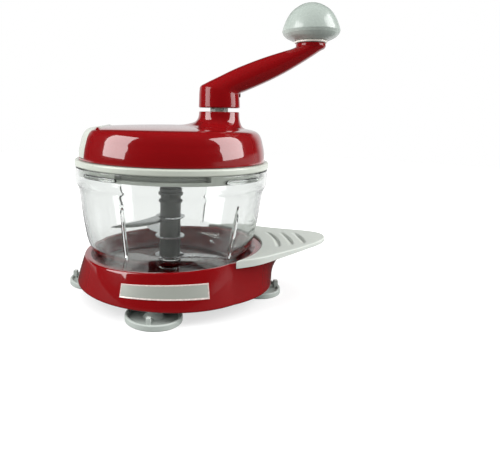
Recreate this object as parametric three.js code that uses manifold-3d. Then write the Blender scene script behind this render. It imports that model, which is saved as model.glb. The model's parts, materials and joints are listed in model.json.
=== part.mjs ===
// Crank food chopper: a red base on suction feet with a side grip, a clear bowl with a stack of
// blades, and a geared lid with a crank and a flip-up fill door.
// Lengths are in millimetres and angles in degrees. +Z is up, the floor is at Z = 0, and every
// piece is made round the bowl's axis, with the crank tower and the grip towards +X.

import * as THREE from 'three';
import { mergeVertices } from 'three/addons/utils/BufferGeometryUtils.js';
import Module from 'manifold-3d';

const { degToRad, radToDeg, lerp, mapLinear, euclideanModulo } = THREE.MathUtils;

// Fits
const touchGap = 0.3;
const runningGap = 0.4;
const doorGap = 0.5;
const overrun = 2;
const weldDistance = 1e-4;

// Base
const baseBottomZ = 11.5;
const baseRimZ = 39.6;
const baseRimWidth = 3;
const baseFlare = 6;
const baseBelly = 0.4;
const baseWall = 2.6;
const deckSlopeShare = 0.06;
const wellFloorZ = 23.7;
const wellFloorGap = 2.4;
const wellRimGap = 3.9;
const wellCurveShares = [
  [0.3, 0.12],
  [0.8, 0.55],
];

// Grip wing of the base, in the direction of the grip
const gripAngle = 5;
const wingHalfAngle = 57;
const wingFootLength = 10;
const wingDeckLength = 36;
const wingFlarePower = 3.2;
const wingSharpnessPower = 1.2;

// Soft pad on the wing
const padLength = 56.4;
const padSetback = 10;
const padCornerAngle = 54.07;
const padCornerOverhang = 3.4;
const padSink = 3.5;
const padProud = 2;
const padEdge = 3;
const tongueThickness = 3;
const tongueLip = 0.8;
const grooveDepth = 1.2;
const grooveWidth = 3.4;
const grooveSetback = 18;
const groovePitch = 11.5;
const grooveCount = 3;
const firstGrooveLength = 60;
const grooveShortening = 11;

// Name plate, left bare
const plateMiddleAngle = -93.4;
const plateLength = 70.5;
const plateHeight = 10.8;
const plateDrop = 6.2;
const plateEndDrop = 2.6;
const plateInlay = 0.9;
const plateProud = 0.2;

// Bottom plate and its screws
const bottomPlateThickness = 2.4;
const baseScrewInset = 12;
const baseScrewCount = 4;
const baseBossRadius = 4.2;
const baseScrewRadius = 1.6;
const baseScrewHeadRadius = 3.2;
const baseScrewHeadHeight = 1.6;
const baseScrewLength = 7;

// Suction feet
const rightFootInset = 3;
const rightFootAngle = 1;
const leftFootInset = 9.6;
const leftFootAngle = 168;
const frontFootInset = 15.6;
const frontFootAngle = -100;
const cupRadius = 22.7;
const cupRimHeight = 4.6;
const cupDishZ = 2.6;
const cupLip = 3;
const cupHollow = 1.2;
const cupCollarRadius = 7;
const cupStemRadius = 4.6;
const cupHeadRadius = 5.8;
const cupHeadHeight = 2.2;
const tabWidth = 1.8;
const tabLength = 6;
const tabDrop = 2;
const tabRibZ = 4.2;

// Bowl
const bowlRimZ = 113.9;
const bowlRimRadius = 86.6;
const bowlWall = 2.3;
const bowlRibDepth = 3;
const bowlRibWidth = 2;
const bowlRibBottomZ = 46;
const bowlRibTopZ = 96;
const bowlRibAngles = [-118, -48, 62, 132];
const bowlBossRadius = 5.6;
const bowlBossHeight = 11.7;

// Bowl outline as shares of the rim's radius and of the bowl's height
const bowlShares = [
  [0.63, 0],
  [0.7, 0.025],
  [0.764, 0.119],
  [0.848, 0.253],
  [0.889, 0.398],
  [0.921, 0.555],
  [0.936, 0.7],
  [0.968, 0.845],
  [1, 1],
];

// Pin, post and blades
const pinRadius = 2.4;
const pinSink = 8;
const pinLength = 24;
const postRadius = 9.5;
const postFloorGap = 1.7;
const postTopDrop = 28.9;
const postCollarRadius = 11.4;
const postCollarHeight = 3.8;
const postHexWidth = 11;
const postHexHeight = 9.5;
const bladeThickness = 1.2;
const bladeRingWidth = 3.6;
const bladeRootWidth = 15;
const bladeTipClearance = 5;
const lowBladeLift = 3;
const highBladeDrop = 18;
const bladeSweepAngle = 14;

// Lower half of the lid
const ringOverhang = 0.9;
const ringHeight = 5.5;
const ringRound = 1.4;
const ringStep = 7;
const lidFloorThickness = 2.5;
const lidFloorAboveRim = 1.6;
const skirtDrop = 7.6;
const skirtWall = 2;
const slotCount = 8;
const slotHalfAngle = 13.5;
const slotHeight = 5;
const slotBar = 1.5;
const slotDepth = 1.2;
const slotSteps = 4;
const lugHalfAngle = 6;
const lugHeight = 3;
const lugDrop = 2.4;
const portInnerSetback = 4;
const portSideSetback = 9.3;
const portOuterSetback = 9.4;
const portWall = 2;
const portTopDrop = 7.5;

// Upper half of the lid
const shellSetback = 3.6;
const shellLipWidth = 0.9;
const shellLipHeight = 1.6;
const shellWall = 2.4;
const shellHeight = 31;
const towerInset = 40;
const towerRadius = 18;
const towerHeight = 12.5;
const towerFilletWidth = 14;
const towerFilletHeight = 8.5;
const towerFilletSink = 3;

// Fill door, opposite the tower
const doorHalfAngle = 29;
const doorProud = 0.7;
const doorWall = 2.2;
const doorHingeSetback = 21;
const doorHingeDrop = 3.6;
const doorBarrelRadius = 3.2;
const doorPinRadius = 1.1;
const doorEarLength = 6;
const doorEarWidth = 7;

// Gears and drive
const crankGearTeeth = 40;
const pinionTeeth = 20;
const gearThickness = 8;
const gearLift = 3;
const gearBacklash = 0.5;
const toothAddendumShare = 0.9;
const toothDedendumShare = 1.15;
const toothRootShare = 0.68;
const toothTipShare = 0.3;
const crankGearHubHeight = 12;
const crankGearHubWall = 3.6;
const crankGearHoleCount = 5;
const crankGearHoleRadius = 5;
const driveShaftRadius = 6;
const driveFlangeRadius = 9.3;
const driveShaftTopAboveGear = 3;
const clipThickness = 1;
const clipRadius = 8.4;

// Crank
const crankRadius = 83;
const hubRadius = 17.7;
const hubGap = 3.5;
const hubHeight = 17;
const hubCap = 1;
const spindleRadius = 8.2;
const spindleJournalRadius = 5;
const spindleSeatThickness = 0.9;
const bushWall = 2.8;
const bushLength = 14.5;
const armSink = 0.5;
const armRise = 39.1;
const armTipRadius = 12.9;
const armSides = 16;
const armSquarenessPower = 0.7;
const collarHeight = 5.4;
const setScrewRadius = 2.2;
const setScrewProud = 1.4;
const setScrewDrop = 4.8;

// Knob
const washerThickness = 1.6;
const knobHeight = 36.3;
const knobRadius = 25.8;
const knobFootRadius = 13.6;
const axleRadius = 3;
const axleHeadRadius = 5;
const axleHeadHeight = 3;
const axleSink = 6;
const axleHeadShare = 0.62;

// Screws of the lid
const lidScrewAngles = [99, 43];
const lidScrewInset = 9.6;
const lidBossRadius = 4.2;
const lidScrewRadius = 1.7;
const lidScrewHeadRadius = 3.4;
const lidScrewHeadHeight = 1.8;
const lidScrewLength = 14;

// Fineness of the round forms
const wideSteps = 40;
const middleSteps = 20;
const smallSteps = 10;

// Sizes that follow from the ones above: bowl and base
const bowlBottomZ = wellFloorZ + touchGap;
const bowlFloorZ = bowlBottomZ + bowlWall;
const bowlOutline = shared(bowlShares, bowlRimRadius, bowlBottomZ, bowlRimZ - bowlBottomZ);
const wellFloorRadius = bowlOutline[0][0] + wellFloorGap;
const wellRimRadius = bowlRadiusAt(baseRimZ) + wellRimGap;
const baseRimRadius = wellRimRadius + baseRimWidth;
const baseFootRadius = baseRimRadius + baseFlare;
const wingFootReach = baseFootRadius + wingFootLength;
const wingDeckReach = baseRimRadius + wingDeckLength;
const padInnerReach = wellRimRadius + padSetback;
const padReach = padInnerReach + padLength;
const [padCornerX, padHalfWidth] = polar(baseRimRadius + padCornerOverhang, padCornerAngle);
const padBottomZ = baseRimZ - padSink;
const padTopZ = baseRimZ + padProud;
const tongueTopZ = padBottomZ + tongueThickness;
const firstGrooveReach = padInnerReach + grooveSetback;
const plateTopZ = baseRimZ - plateDrop;
const plateBottomZ = plateTopZ - plateHeight;
const bottomPlateTopZ = baseBottomZ + bottomPlateThickness;
const baseScrewCircleRadius = wellFloorRadius - baseScrewInset;
const tabTopZ = baseBottomZ - tabDrop;

// Sizes that follow: pin, post and blades
const bowlBossTopZ = bowlFloorZ + bowlBossHeight;
const pinTopZ = bowlBossTopZ - pinSink + pinLength;
const postBottomZ = bowlFloorZ + postFloorGap;
const postTopZ = bowlRimZ - postTopDrop;
const postCollarTopZ = postTopZ + postCollarHeight;
const postHexTopZ = postCollarTopZ + postHexHeight;
const lowBladeZ = postBottomZ + lowBladeLift;
const highBladeZ = postTopZ - highBladeDrop;
const middleBladeZ = (lowBladeZ + highBladeZ) / 2;

// Sizes that follow: lid
const ringRadius = bowlRimRadius + ringOverhang;
const ringBottomZ = bowlRimZ + touchGap;
const ringTopZ = ringBottomZ + ringHeight;
const skirtBottomZ = ringBottomZ - skirtDrop;
const skirtRadius = bowlRadiusAt(skirtBottomZ) - bowlWall - doorGap;
const lidFloorZ = bowlRimZ + lidFloorAboveRim;
const lidFloorTopZ = lidFloorZ + lidFloorThickness;
const spindleSeatZ = lidFloorZ + spindleSeatThickness;
const shellBottomZ = ringTopZ + touchGap;
const shellLipRadius = ringRadius - shellSetback;
const shellWallRadius = shellLipRadius - shellLipWidth;
const lidTopZ = shellBottomZ + shellHeight;
const lidScrewCircleRadius = skirtRadius - skirtWall - lidScrewInset;
const doorHingeX = doorHingeSetback - shellWallRadius;
const doorHingeZ = lidTopZ - doorHingeDrop;
const doorSlope = Math.tan(degToRad(doorHalfAngle));
const doorNeckX = doorHingeX - doorEarWidth / 2;
const doorNeckHalfWidth = -doorNeckX * doorSlope;
const doorBottomZ = shellBottomZ + shellLipHeight + touchGap;
const barrelHalfLength = doorNeckHalfWidth - doorGap;
const doorEarY = doorNeckHalfWidth + doorGap;
const portInnerX = doorHingeX + portInnerSetback;
const portHalfWidth = doorNeckHalfWidth - portSideSetback;
const portOuterRadius = shellWallRadius - portOuterSetback;
const portTopZ = lidTopZ - portTopDrop;

// Sizes that follow: gears, tower, crank and knob
const towerX = shellWallRadius - towerInset;
const towerTopZ = lidTopZ + towerHeight;
const gearBottomZ = lidFloorTopZ + gearLift;
const gearTopZ = gearBottomZ + gearThickness;
const gearModule = 2 * towerX / (crankGearTeeth + pinionTeeth);
const driveTopZ = gearTopZ + driveShaftTopAboveGear;
const couplingBottomZ = postCollarTopZ + touchGap;
const clipBottomZ = gearTopZ + touchGap;
const clipTopZ = clipBottomZ + clipThickness;
const clipGrooveRadius = driveShaftRadius - clipThickness;
const bushRadius = spindleRadius + runningGap + bushWall;
const bushBottomZ = towerTopZ - bushLength;
const hubBottomZ = towerTopZ + hubGap;
const hubTopZ = hubBottomZ + hubHeight;
const spindleTopZ = hubTopZ - hubCap;
const setScrewZ = hubTopZ - setScrewDrop;
const armRootZ = hubTopZ - armSink;
const armTipZ = armRootZ + armRise;
const collarTopZ = armTipZ + collarHeight;
const washerTopZ = collarTopZ + touchGap + washerThickness;
const knobX = towerX + crankRadius;
const knobBottomZ = washerTopZ + touchGap;
const axleHeadZ = knobBottomZ + axleHeadShare * knobHeight;

// Materials
function finish(color, roughness, metalness = 0) {
  return new THREE.MeshStandardMaterial({ color, roughness, metalness });
}

const redPlastic = () => finish(0xa4161c, 0.15);
const greyPlastic = () => finish(0xc2ccc4, 0.35);
const darkPlastic = () => finish(0x55585a, 0.4);
const whitePlastic = () => finish(0xe6e2d8, 0.4);
const greyRubber = () => finish(0xa3aba3, 0.6);
const plateMetal = () => finish(0x8c968f, 0.35, 0.6);
const steel = () => finish(0xc8cacc, 0.25, 1);
const blackSteel = () => finish(0x2a2a2c, 0.4, 0.8);

function clearPlastic() {
  const material = finish(0xf2f6f6, 0.05);
  material.transparent = true;
  material.opacity = 0.3;
  return material;
}

// Solids are closed position-only geometries, joined and cut by manifold-3d
const wasm = await Module();
wasm.setup();

function bare(geometry) {
  geometry.deleteAttribute('normal');
  geometry.deleteAttribute('uv');
  return mergeVertices(geometry, weldDistance);
}

function signedVolume(positions, index) {
  const a = new THREE.Vector3();
  const b = new THREE.Vector3();
  const c = new THREE.Vector3();
  let sum = 0;
  for (let i = 0; i < index.length; i += 3) {
    a.fromArray(positions, 3 * index[i]);
    b.fromArray(positions, 3 * index[i + 1]);
    c.fromArray(positions, 3 * index[i + 2]);
    sum += a.dot(b.cross(c));
  }
  return sum;
}

function solid(geometry) {
  const merged = bare(geometry);
  const positions = merged.attributes.position.array;
  const index = Uint32Array.from(merged.index.array);
  if (signedVolume(positions, index) < 0) index.reverse();
  const mesh = new wasm.Mesh({ numProp: 3, vertProperties: Float32Array.from(positions), triVerts: index });
  return new wasm.Manifold(mesh);
}

function geometryOf(body) {
  const { vertProperties, triVerts } = body.getMesh();
  const geometry = new THREE.BufferGeometry();
  geometry.setAttribute('position', new THREE.BufferAttribute(vertProperties, 3));
  geometry.setIndex(new THREE.BufferAttribute(triVerts, 1));
  geometry.computeVertexNormals();
  return geometry;
}

// A turned piece: profile points are [radius, z]; one that doesn't start on the axis is a ring
function turned(points, steps, x = 0, y = 0) {
  const outline = points.map(([radius, z]) => new THREE.Vector2(radius, z));
  const onAxis = points[0][0] === 0 && points.at(-1)[0] === 0;
  if (!onAxis) outline.push(outline[0].clone());
  const geometry = new THREE.LatheGeometry(outline, steps);
  geometry.rotateX(Math.PI / 2);
  geometry.translate(x, y, 0);
  return solid(geometry);
}

function cylinder(radius, bottomZ, topZ, steps, x = 0, y = 0) {
  return turned([[0, bottomZ], [radius, bottomZ], [radius, topZ], [0, topZ]], steps, x, y);
}

function tube(innerRadius, outerRadius, bottomZ, topZ, steps, x = 0) {
  const radii = [innerRadius, outerRadius, outerRadius, innerRadius];
  const heights = [bottomZ, bottomZ, topZ, topZ];
  return turned(radii.map((radius, i) => [radius, heights[i]]), steps, x);
}

function block(lowX, highX, lowY, highY, lowZ, highZ) {
  const geometry = new THREE.BoxGeometry(highX - lowX, highY - lowY, highZ - lowZ);
  geometry.translate((lowX + highX) / 2, (lowY + highY) / 2, (lowZ + highZ) / 2);
  return solid(geometry);
}

function prism(points, bottomZ, topZ) {
  const shape = new THREE.Shape(points.map(([x, y]) => new THREE.Vector2(x, y)));
  const geometry = new THREE.ExtrudeGeometry(shape, { depth: topZ - bottomZ, bevelEnabled: false });
  geometry.translate(0, 0, bottomZ);
  return solid(geometry);
}

function polar(radius, angle) {
  return [radius * Math.cos(degToRad(angle)), radius * Math.sin(degToRad(angle))];
}

function arc(radius, fromAngle, toAngle, steps) {
  return Array.from({ length: steps + 1 }, (_, i) =>
    polar(radius, lerp(fromAngle, toAngle, i / steps)));
}

function sector(innerRadius, outerRadius, fromAngle, toAngle, bottomZ, topZ, steps = smallSteps) {
  const outline = [
    ...arc(outerRadius, fromAngle, toAngle, steps),
    ...arc(innerRadius, toAngle, fromAngle, steps),
  ];
  return prism(outline, bottomZ, topZ);
}

function hexagon(width) {
  const cornerRadius = width / Math.sqrt(3);
  return arc(cornerRadius, 0, 300, 5);
}

function shared(shares, radius, bottomZ, height) {
  return shares.map(([radiusShare, heightShare]) => [radiusShare * radius, bottomZ + heightShare * height]);
}

// A closed skin over rings of points, each ring with as many points, with flat or domed ends
function loft(rings) {
  const steps = rings[0].length;
  const positions = rings.flat(2);
  const index = [];
  for (let ring = 0; ring + 1 < rings.length; ring++) {
    for (let i = 0; i < steps; i++) {
      const next = (i + 1) % steps;
      const a = ring * steps + i;
      const b = ring * steps + next;
      index.push(a, b, b + steps, a, b + steps, a + steps);
    }
  }
  for (const [ring, flip] of [[0, true], [rings.length - 1, false]]) {
    const middle = positions.length / 3;
    const points = rings[ring];
    for (let axis = 0; axis < 3; axis++) {
      positions.push(points.reduce((sum, point) => sum + point[axis], 0) / steps);
    }
    for (let i = 0; i < steps; i++) {
      const a = ring * steps + i;
      const b = ring * steps + (i + 1) % steps;
      index.push(...(flip ? [b, a, middle] : [a, b, middle]));
    }
  }
  const geometry = new THREE.BufferGeometry();
  geometry.setAttribute('position', new THREE.Float32BufferAttribute(positions, 3));
  geometry.setIndex(index);
  return solid(geometry);
}

// The outline moved to its right by a distance, for walls that follow a profile
function offsetOutline(points, distance) {
  return points.map(([x, y], i) => {
    const [ax, ay] = points[Math.max(i - 1, 0)];
    const [bx, by] = points[Math.min(i + 1, points.length - 1)];
    const length = Math.hypot(bx - ax, by - ay);
    return [x + distance * (by - ay) / length, y - distance * (bx - ax) / length];
  });
}

// Base: the deck slopes up towards the grip, so heights grow with X from the floor edge upwards
function slopedZ(x, z) {
  const rise = (z - baseBottomZ) / (baseRimZ - baseBottomZ);
  return z + deckSlopeShare * x * Math.max(rise, 0);
}

function sloped(body) {
  return body.warp((point) => {
    point[2] = slopedZ(point[0], point[2]);
  });
}

function wallRadius(angle, z) {
  const rise = (z - baseBottomZ) / (baseRimZ - baseBottomZ);
  const belly = baseBelly * Math.sin(Math.PI * rise);
  const round = lerp(baseFootRadius, baseRimRadius, rise) + belly;
  const flare = Math.max(rise, 0) ** wingFlarePower;
  const reach = lerp(wingFootReach, wingDeckReach, flare);
  const turn = euclideanModulo(angle - gripAngle + 180, 360) - 180;
  if (Math.abs(turn) >= wingHalfAngle) return round;
  return round + (reach - round) * Math.cos(degToRad(90 * turn / wingHalfAngle)) ** wingSharpnessPower;
}

function baseRing(z, offset) {
  return Array.from({ length: wideSteps }, (_, i) => {
    const angle = 360 * i / wideSteps;
    return [...polar(wallRadius(angle, z) + offset, angle), z];
  });
}

function baseForm(offset, topZ, bottomZ = baseBottomZ) {
  const levelShares = [0, 0.35, 0.6, 0.8, 1];
  return loft(levelShares.map((share) => baseRing(lerp(bottomZ, topZ, share), offset)));
}

function wellForm(offset) {
  const topZ = baseRimZ + deckSlopeShare * padReach;
  const curve = wellCurveShares.map(([widthShare, heightShare]) => [
    lerp(wellFloorRadius, wellRimRadius, widthShare),
    lerp(wellFloorZ, baseRimZ, heightShare),
  ]);
  const profile = [
    [0, wellFloorZ],
    [wellFloorRadius, wellFloorZ],
    ...curve,
    [wellRimRadius, baseRimZ],
    [wellRimRadius + topZ - baseRimZ, topZ],
  ];
  const wall = offsetOutline(profile, offset);
  wall[0] = [0, wellFloorZ - offset];
  wall[1][1] = wellFloorZ - offset;
  return turned([...wall, [0, topZ]], wideSteps);
}

// Half outline of the pad as shares of its reach and half width, from the corner to the tip. The
// corner is acute, so it backs off by a share of each inset.
const padCornerBackoffShare = 6;
const padSideShares = [
  [0.531, 0.905],
  [0.74, 0.575],
  [0.905, 0.29],
  [0.98, 0.13],
];

function padOutline(inset) {
  const reachLeft = padInnerReach - padCornerX;
  const arcMiddleX = (padInnerReach ** 2 - padCornerX ** 2 - padHalfWidth ** 2) / (2 * reachLeft);
  const arcRadius = padInnerReach - arcMiddleX;
  const cornerAngle = radToDeg(
    Math.atan2(padHalfWidth, padCornerX - arcMiddleX) - padCornerBackoffShare * inset / arcRadius);
  const centred = arc(arcRadius + inset, -cornerAngle, cornerAngle, smallSteps);
  const inner = centred.map(([x, y]) => [x + arcMiddleX, y]);
  const side = padSideShares.map(([reachShare, widthShare]) =>
    [reachShare * padReach, widthShare * padHalfWidth]);
  const upper = [[padCornerX, padHalfWidth], ...side, [padReach, 0]];
  const inward = offsetOutline(upper, inset).slice(1, -1);
  const lower = inward.map(([x, y]) => [x, -y]).reverse();
  const edge = [inner.at(-1), ...inward, [padReach - inset, 0], ...lower, inner[0]];
  const curve = new THREE.SplineCurve(edge.map(([x, y]) => new THREE.Vector2(x, y)));
  const outer = curve.getPoints(middleSteps).map(({ x, y }) => [x, y]);
  return [...outer, ...inner.slice(1, -1)];
}

function gripTurned(body) {
  return body.rotate([0, 0, gripAngle]);
}

function patchForm(inner, outer) {
  const middleRadius = wallRadius(plateMiddleAngle, (plateBottomZ + plateTopZ) / 2);
  const halfAngle = radToDeg(plateLength / 2 / middleRadius);
  const rings = Array.from({ length: smallSteps + 1 }, (_, i) => {
    const side = 2 * i / smallSteps - 1;
    const angle = plateMiddleAngle + halfAngle * side;
    const lowZ = plateBottomZ - plateEndDrop * side ** 2;
    const highZ = plateTopZ - plateEndDrop * side ** 2;
    const low = wallRadius(angle, lowZ);
    const high = wallRadius(angle, highZ);
    return [
      [...polar(low + inner, angle), lowZ],
      [...polar(low + outer, angle), lowZ],
      [...polar(high + outer, angle), highZ],
      [...polar(high + inner, angle), highZ],
    ];
  });
  return loft(rings);
}

function grown(body, gap) {
  const { min, max } = body.boundingBox();
  const middle = min.map((low, axis) => (low + max[axis]) / 2);
  const scale = min.map((low, axis) => (max[axis] - low + 2 * gap) / (max[axis] - low));
  return body.translate(middle.map((value) => -value)).scale(scale).translate(middle);
}

function baseScrewPlaces() {
  return Array.from({ length: baseScrewCount }, (_, i) =>
    polar(baseScrewCircleRadius, 360 * (i + 0.5) / baseScrewCount));
}

function footPlaces() {
  const places = {
    right: polar(baseFootRadius - rightFootInset, rightFootAngle),
    back: polar(baseFootRadius - frontFootInset, frontFootAngle + 180),
    left: polar(baseFootRadius - leftFootInset, leftFootAngle),
    front: polar(baseFootRadius - frontFootInset, frontFootAngle),
  };
  return Object.entries(places).map(([name, [x, y]]) => ({ name, x, y }));
}

function makeBaseShell() {
  const topZ = baseRimZ + touchGap;
  const outside = sloped(baseForm(0, baseRimZ));
  const inside = sloped(baseForm(-baseWall, padBottomZ - baseWall, baseBottomZ - overrun));
  const pocket = gripTurned(prism(padOutline(-touchGap), padBottomZ - touchGap, topZ + overrun));
  const tongueBottomZ = padBottomZ - touchGap - tongueLip;
  const tongue = gripTurned(prism(padOutline(padEdge), tongueBottomZ, tongueTopZ));
  let shell = outside.subtract(sloped(pocket)).add(sloped(tongue));
  shell = shell.subtract(inside.subtract(wellForm(baseWall))).subtract(wellForm(0));
  shell = shell.subtract(patchForm(-plateInlay, overrun));
  const holeTopZ = baseBottomZ + baseScrewLength + overrun;
  for (const [x, y] of baseScrewPlaces()) {
    const bossBottomZ = bottomPlateTopZ + touchGap;
    const boss = cylinder(baseBossRadius, bossBottomZ, wellFloorZ - touchGap, smallSteps, x, y);
    const hole = cylinder(baseScrewRadius + touchGap, baseBottomZ, holeTopZ, smallSteps, x, y);
    shell = shell.add(boss).subtract(hole);
  }
  return shell;
}

function makeGripPad() {
  const body = prism(padOutline(0), padBottomZ, padTopZ);
  const pocket = prism(padOutline(padEdge - touchGap), padBottomZ - overrun, tongueTopZ + touchGap);
  let pad = body.subtract(pocket);
  for (let i = 0; i < grooveCount; i++) {
    const reach = firstGrooveReach + i * groovePitch;
    const halfLength = (firstGrooveLength - i * grooveShortening) / 2;
    const halfAngle = radToDeg(halfLength / reach);
    const bottomZ = padTopZ - grooveDepth;
    const farReach = reach + grooveWidth;
    pad = pad.subtract(sector(reach, farReach, -halfAngle, halfAngle, bottomZ, padTopZ + overrun));
  }
  return sloped(gripTurned(pad));
}

function makeNamePlate() {
  const plate = patchForm(touchGap - plateInlay, plateProud);
  return grown(plate, -touchGap);
}

function makeBasePlate() {
  const clearance = baseWall + touchGap;
  let plate = loft([baseBottomZ, bottomPlateTopZ].map((z) => baseRing(z, -clearance)));
  for (const { x, y } of footPlaces()) {
    const hole = cylinder(cupStemRadius + touchGap, 0, bottomPlateTopZ + overrun, smallSteps, x, y);
    plate = plate.subtract(hole);
  }
  for (const [x, y] of baseScrewPlaces()) {
    const headZ = baseBottomZ + baseScrewHeadHeight / 2;
    const recess = cylinder(baseScrewHeadRadius + touchGap, 0, headZ, smallSteps, x, y);
    const hole = cylinder(baseScrewRadius + touchGap, 0, bottomPlateTopZ + overrun, smallSteps, x, y);
    plate = plate.subtract(recess).subtract(hole);
  }
  return plate;
}

function makeScrew([x, y], headBottomZ, { headRadius, headHeight, radius, length }) {
  const headTopZ = headBottomZ + headHeight;
  const outline = [
    [0, headBottomZ],
    [headRadius, headBottomZ],
    [headRadius, headTopZ],
    [radius, headTopZ],
    [radius, headTopZ + length],
    [0, headTopZ + length],
  ];
  return turned(outline, smallSteps, x, y);
}

function makeBaseScrew(place) {
  const headTopZ = baseBottomZ + baseScrewHeadHeight / 2 - touchGap;
  return makeScrew(place, headTopZ - baseScrewHeadHeight, {
    headRadius: baseScrewHeadRadius,
    headHeight: baseScrewHeadHeight,
    radius: baseScrewRadius,
    length: baseScrewLength,
  });
}

// A suction cup is held by its mushroom head behind the bottom plate
function makeFoot({ x, y }) {
  const plateTop = bottomPlateTopZ + touchGap;
  const cup = turned([
    [0, cupHollow],
    [cupRadius - cupLip, 0],
    [cupRadius, 0],
    [cupRadius, cupRimHeight],
    [cupRadius - cupLip / 2, cupRimHeight],
    [cupRadius - cupLip, cupDishZ],
    [cupCollarRadius, cupDishZ],
    [cupCollarRadius, baseBottomZ - touchGap],
    [cupStemRadius, baseBottomZ - touchGap],
    [cupStemRadius, plateTop],
    [cupHeadRadius, plateTop],
    [cupStemRadius, plateTop + cupHeadHeight],
    [0, plateTop + cupHeadHeight],
  ], middleSteps, x, y);
  const outward = radToDeg(Math.atan2(y, x));
  const half = tabWidth / 2;
  const bottomZ = cupHollow + touchGap;
  const rib = block(0, cupRadius - cupLip / 2, -half, half, bottomZ, tabRibZ);
  const tab = block(cupRadius - tabLength, cupRadius, -half, half, bottomZ, tabTopZ);
  return cup.add(rib.add(tab).rotate([0, 0, outward]).translate([x, y, 0]));
}

function bowlRadiusAt(z) {
  const next = Math.max(bowlOutline.findIndex(([, height]) => height >= z), 1);
  const [lowRadius, lowZ] = bowlOutline[next - 1];
  const [highRadius, highZ] = bowlOutline[next];
  return mapLinear(z, lowZ, highZ, lowRadius, highRadius);
}

function makeBowl() {
  const inner = bowlOutline.slice(2).map(([radius, z]) => [radius - bowlWall, z]);
  const outerSolid = turned([[0, bowlBottomZ], ...bowlOutline, [0, bowlRimZ]], wideSteps);
  const floorRadius = bowlRadiusAt(bowlFloorZ) - 2 * bowlWall;
  const hollow = [[0, bowlFloorZ], [floorRadius, bowlFloorZ], ...inner];
  hollow.push([inner.at(-1)[0], bowlRimZ + overrun], [0, bowlRimZ + overrun]);
  let inside = turned(hollow, wideSteps);
  const ribRoot = bowlRadiusAt(bowlRibBottomZ) - bowlWall - bowlRibDepth;
  const ribReach = bowlRadiusAt(bowlRibTopZ) + overrun;
  const ribHalf = bowlRibWidth / 2;
  const lean = inner.map(([radius, z]) => [radius - bowlRibDepth, z]);
  const clear = turned([[0, bowlFloorZ], [lean[0][0], bowlFloorZ], ...lean, [0, bowlRimZ]], wideSteps);
  for (const angle of bowlRibAngles) {
    const rib = block(ribRoot, ribReach, -ribHalf, ribHalf, bowlRibBottomZ, bowlRibTopZ);
    inside = inside.subtract(rib.rotate([0, 0, angle]).subtract(clear));
  }
  const lugTopZ = bowlRimZ - lugDrop;
  const lugRoot = bowlRadiusAt(lugTopZ) - bowlWall / 2;
  const lugReach = skirtRadius - slotDepth / 2;
  const lugBottomZ = lugTopZ - lugHeight;
  for (let i = 1; i < slotCount; i += 2) {
    const lug = sector(lugReach, lugRoot, -lugHalfAngle, lugHalfAngle, lugBottomZ, lugTopZ, slotSteps);
    inside = inside.subtract(lug.rotate([0, 0, 360 * i / slotCount]));
  }
  const boss = cylinder(bowlBossRadius, bowlBottomZ + touchGap, bowlBossTopZ, smallSteps);
  const pinHoleZ = bowlBossTopZ - pinSink - touchGap;
  const pinHole = cylinder(pinRadius + touchGap, pinHoleZ, bowlBossTopZ + overrun, smallSteps);
  return outerSolid.subtract(inside).add(boss).subtract(pinHole);
}

const makeBowlPin = () => cylinder(pinRadius, bowlBossTopZ - pinSink, pinTopZ, smallSteps);

function makePost() {
  const hollowRadius = bowlBossRadius + runningGap;
  const bore = pinRadius + runningGap;
  const body = turned([
    [hollowRadius, postBottomZ],
    [postRadius, postBottomZ],
    [postRadius, postTopZ],
    [postCollarRadius, postTopZ],
    [postCollarRadius, postCollarTopZ],
    [bore, postCollarTopZ],
    [bore, bowlBossTopZ + touchGap],
    [hollowRadius, bowlBossTopZ + touchGap],
  ], middleSteps);
  const plug = cylinder(postRadius - touchGap, pinTopZ + touchGap, postCollarTopZ, middleSteps);
  const hex = prism(hexagon(postHexWidth), pinTopZ + touchGap, postHexTopZ);
  return body.add(plug).add(hex);
}

// A blade is a curved arm on a ring round the post; the outline is shares of its reach and root width
const bladeLeadingShares = [
  [0.16, 0.5],
  [0.45, 0.85],
  [0.75, 0.75],
  [1, 0],
];
const bladeTrailingShares = [
  [0.82, -0.05],
  [0.5, -0.12],
  [0.16, -0.5],
];

function makeBlade(z, angle) {
  const ringInner = postRadius + touchGap;
  const reach = bowlRadiusAt(z) - bowlWall - bowlRibDepth - bladeTipClearance;
  const topZ = z + bladeThickness;
  const outline = [...bladeLeadingShares, ...bladeTrailingShares].map(([reachShare, widthShare]) =>
    new THREE.Vector2(reachShare * reach, widthShare * bladeRootWidth));
  const tip = bladeLeadingShares.length - 1;
  const leading = new THREE.SplineCurve(outline.slice(0, tip + 1)).getPoints(smallSteps);
  const trailing = new THREE.SplineCurve(outline.slice(tip)).getPoints(smallSteps);
  const arm = prism([...leading, ...trailing.slice(1)].map((point) => [point.x, point.y]), z, topZ);
  const ring = cylinder(ringInner + bladeRingWidth, z, topZ, middleSteps);
  const hole = cylinder(ringInner, z - overrun, topZ + overrun, middleSteps);
  return ring.add(arm.rotate([0, 0, -bladeSweepAngle])).subtract(hole).rotate([0, 0, angle]);
}

// Lower half of the lid: ring on the bowl's rim, floor under the gears, skirt and fill port. The
// skirt has closed slots in front, behind and at the sides, and open ones for the bowl's lugs.
function portForm(inset, bottomZ, topZ) {
  const outerRadius = portOuterRadius + portWall - inset;
  const round = cylinder(outerRadius, bottomZ, topZ, wideSteps);
  const innerX = portInnerX + portWall - inset;
  const halfWidth = portHalfWidth + portWall - inset;
  return round.intersect(block(-outerRadius - overrun, innerX, -halfWidth, halfWidth, bottomZ, topZ));
}

function lidScrewPlaces() {
  return lidScrewAngles.flatMap((angle) => [
    polar(lidScrewCircleRadius, angle),
    polar(lidScrewCircleRadius, -angle),
  ]);
}

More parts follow.
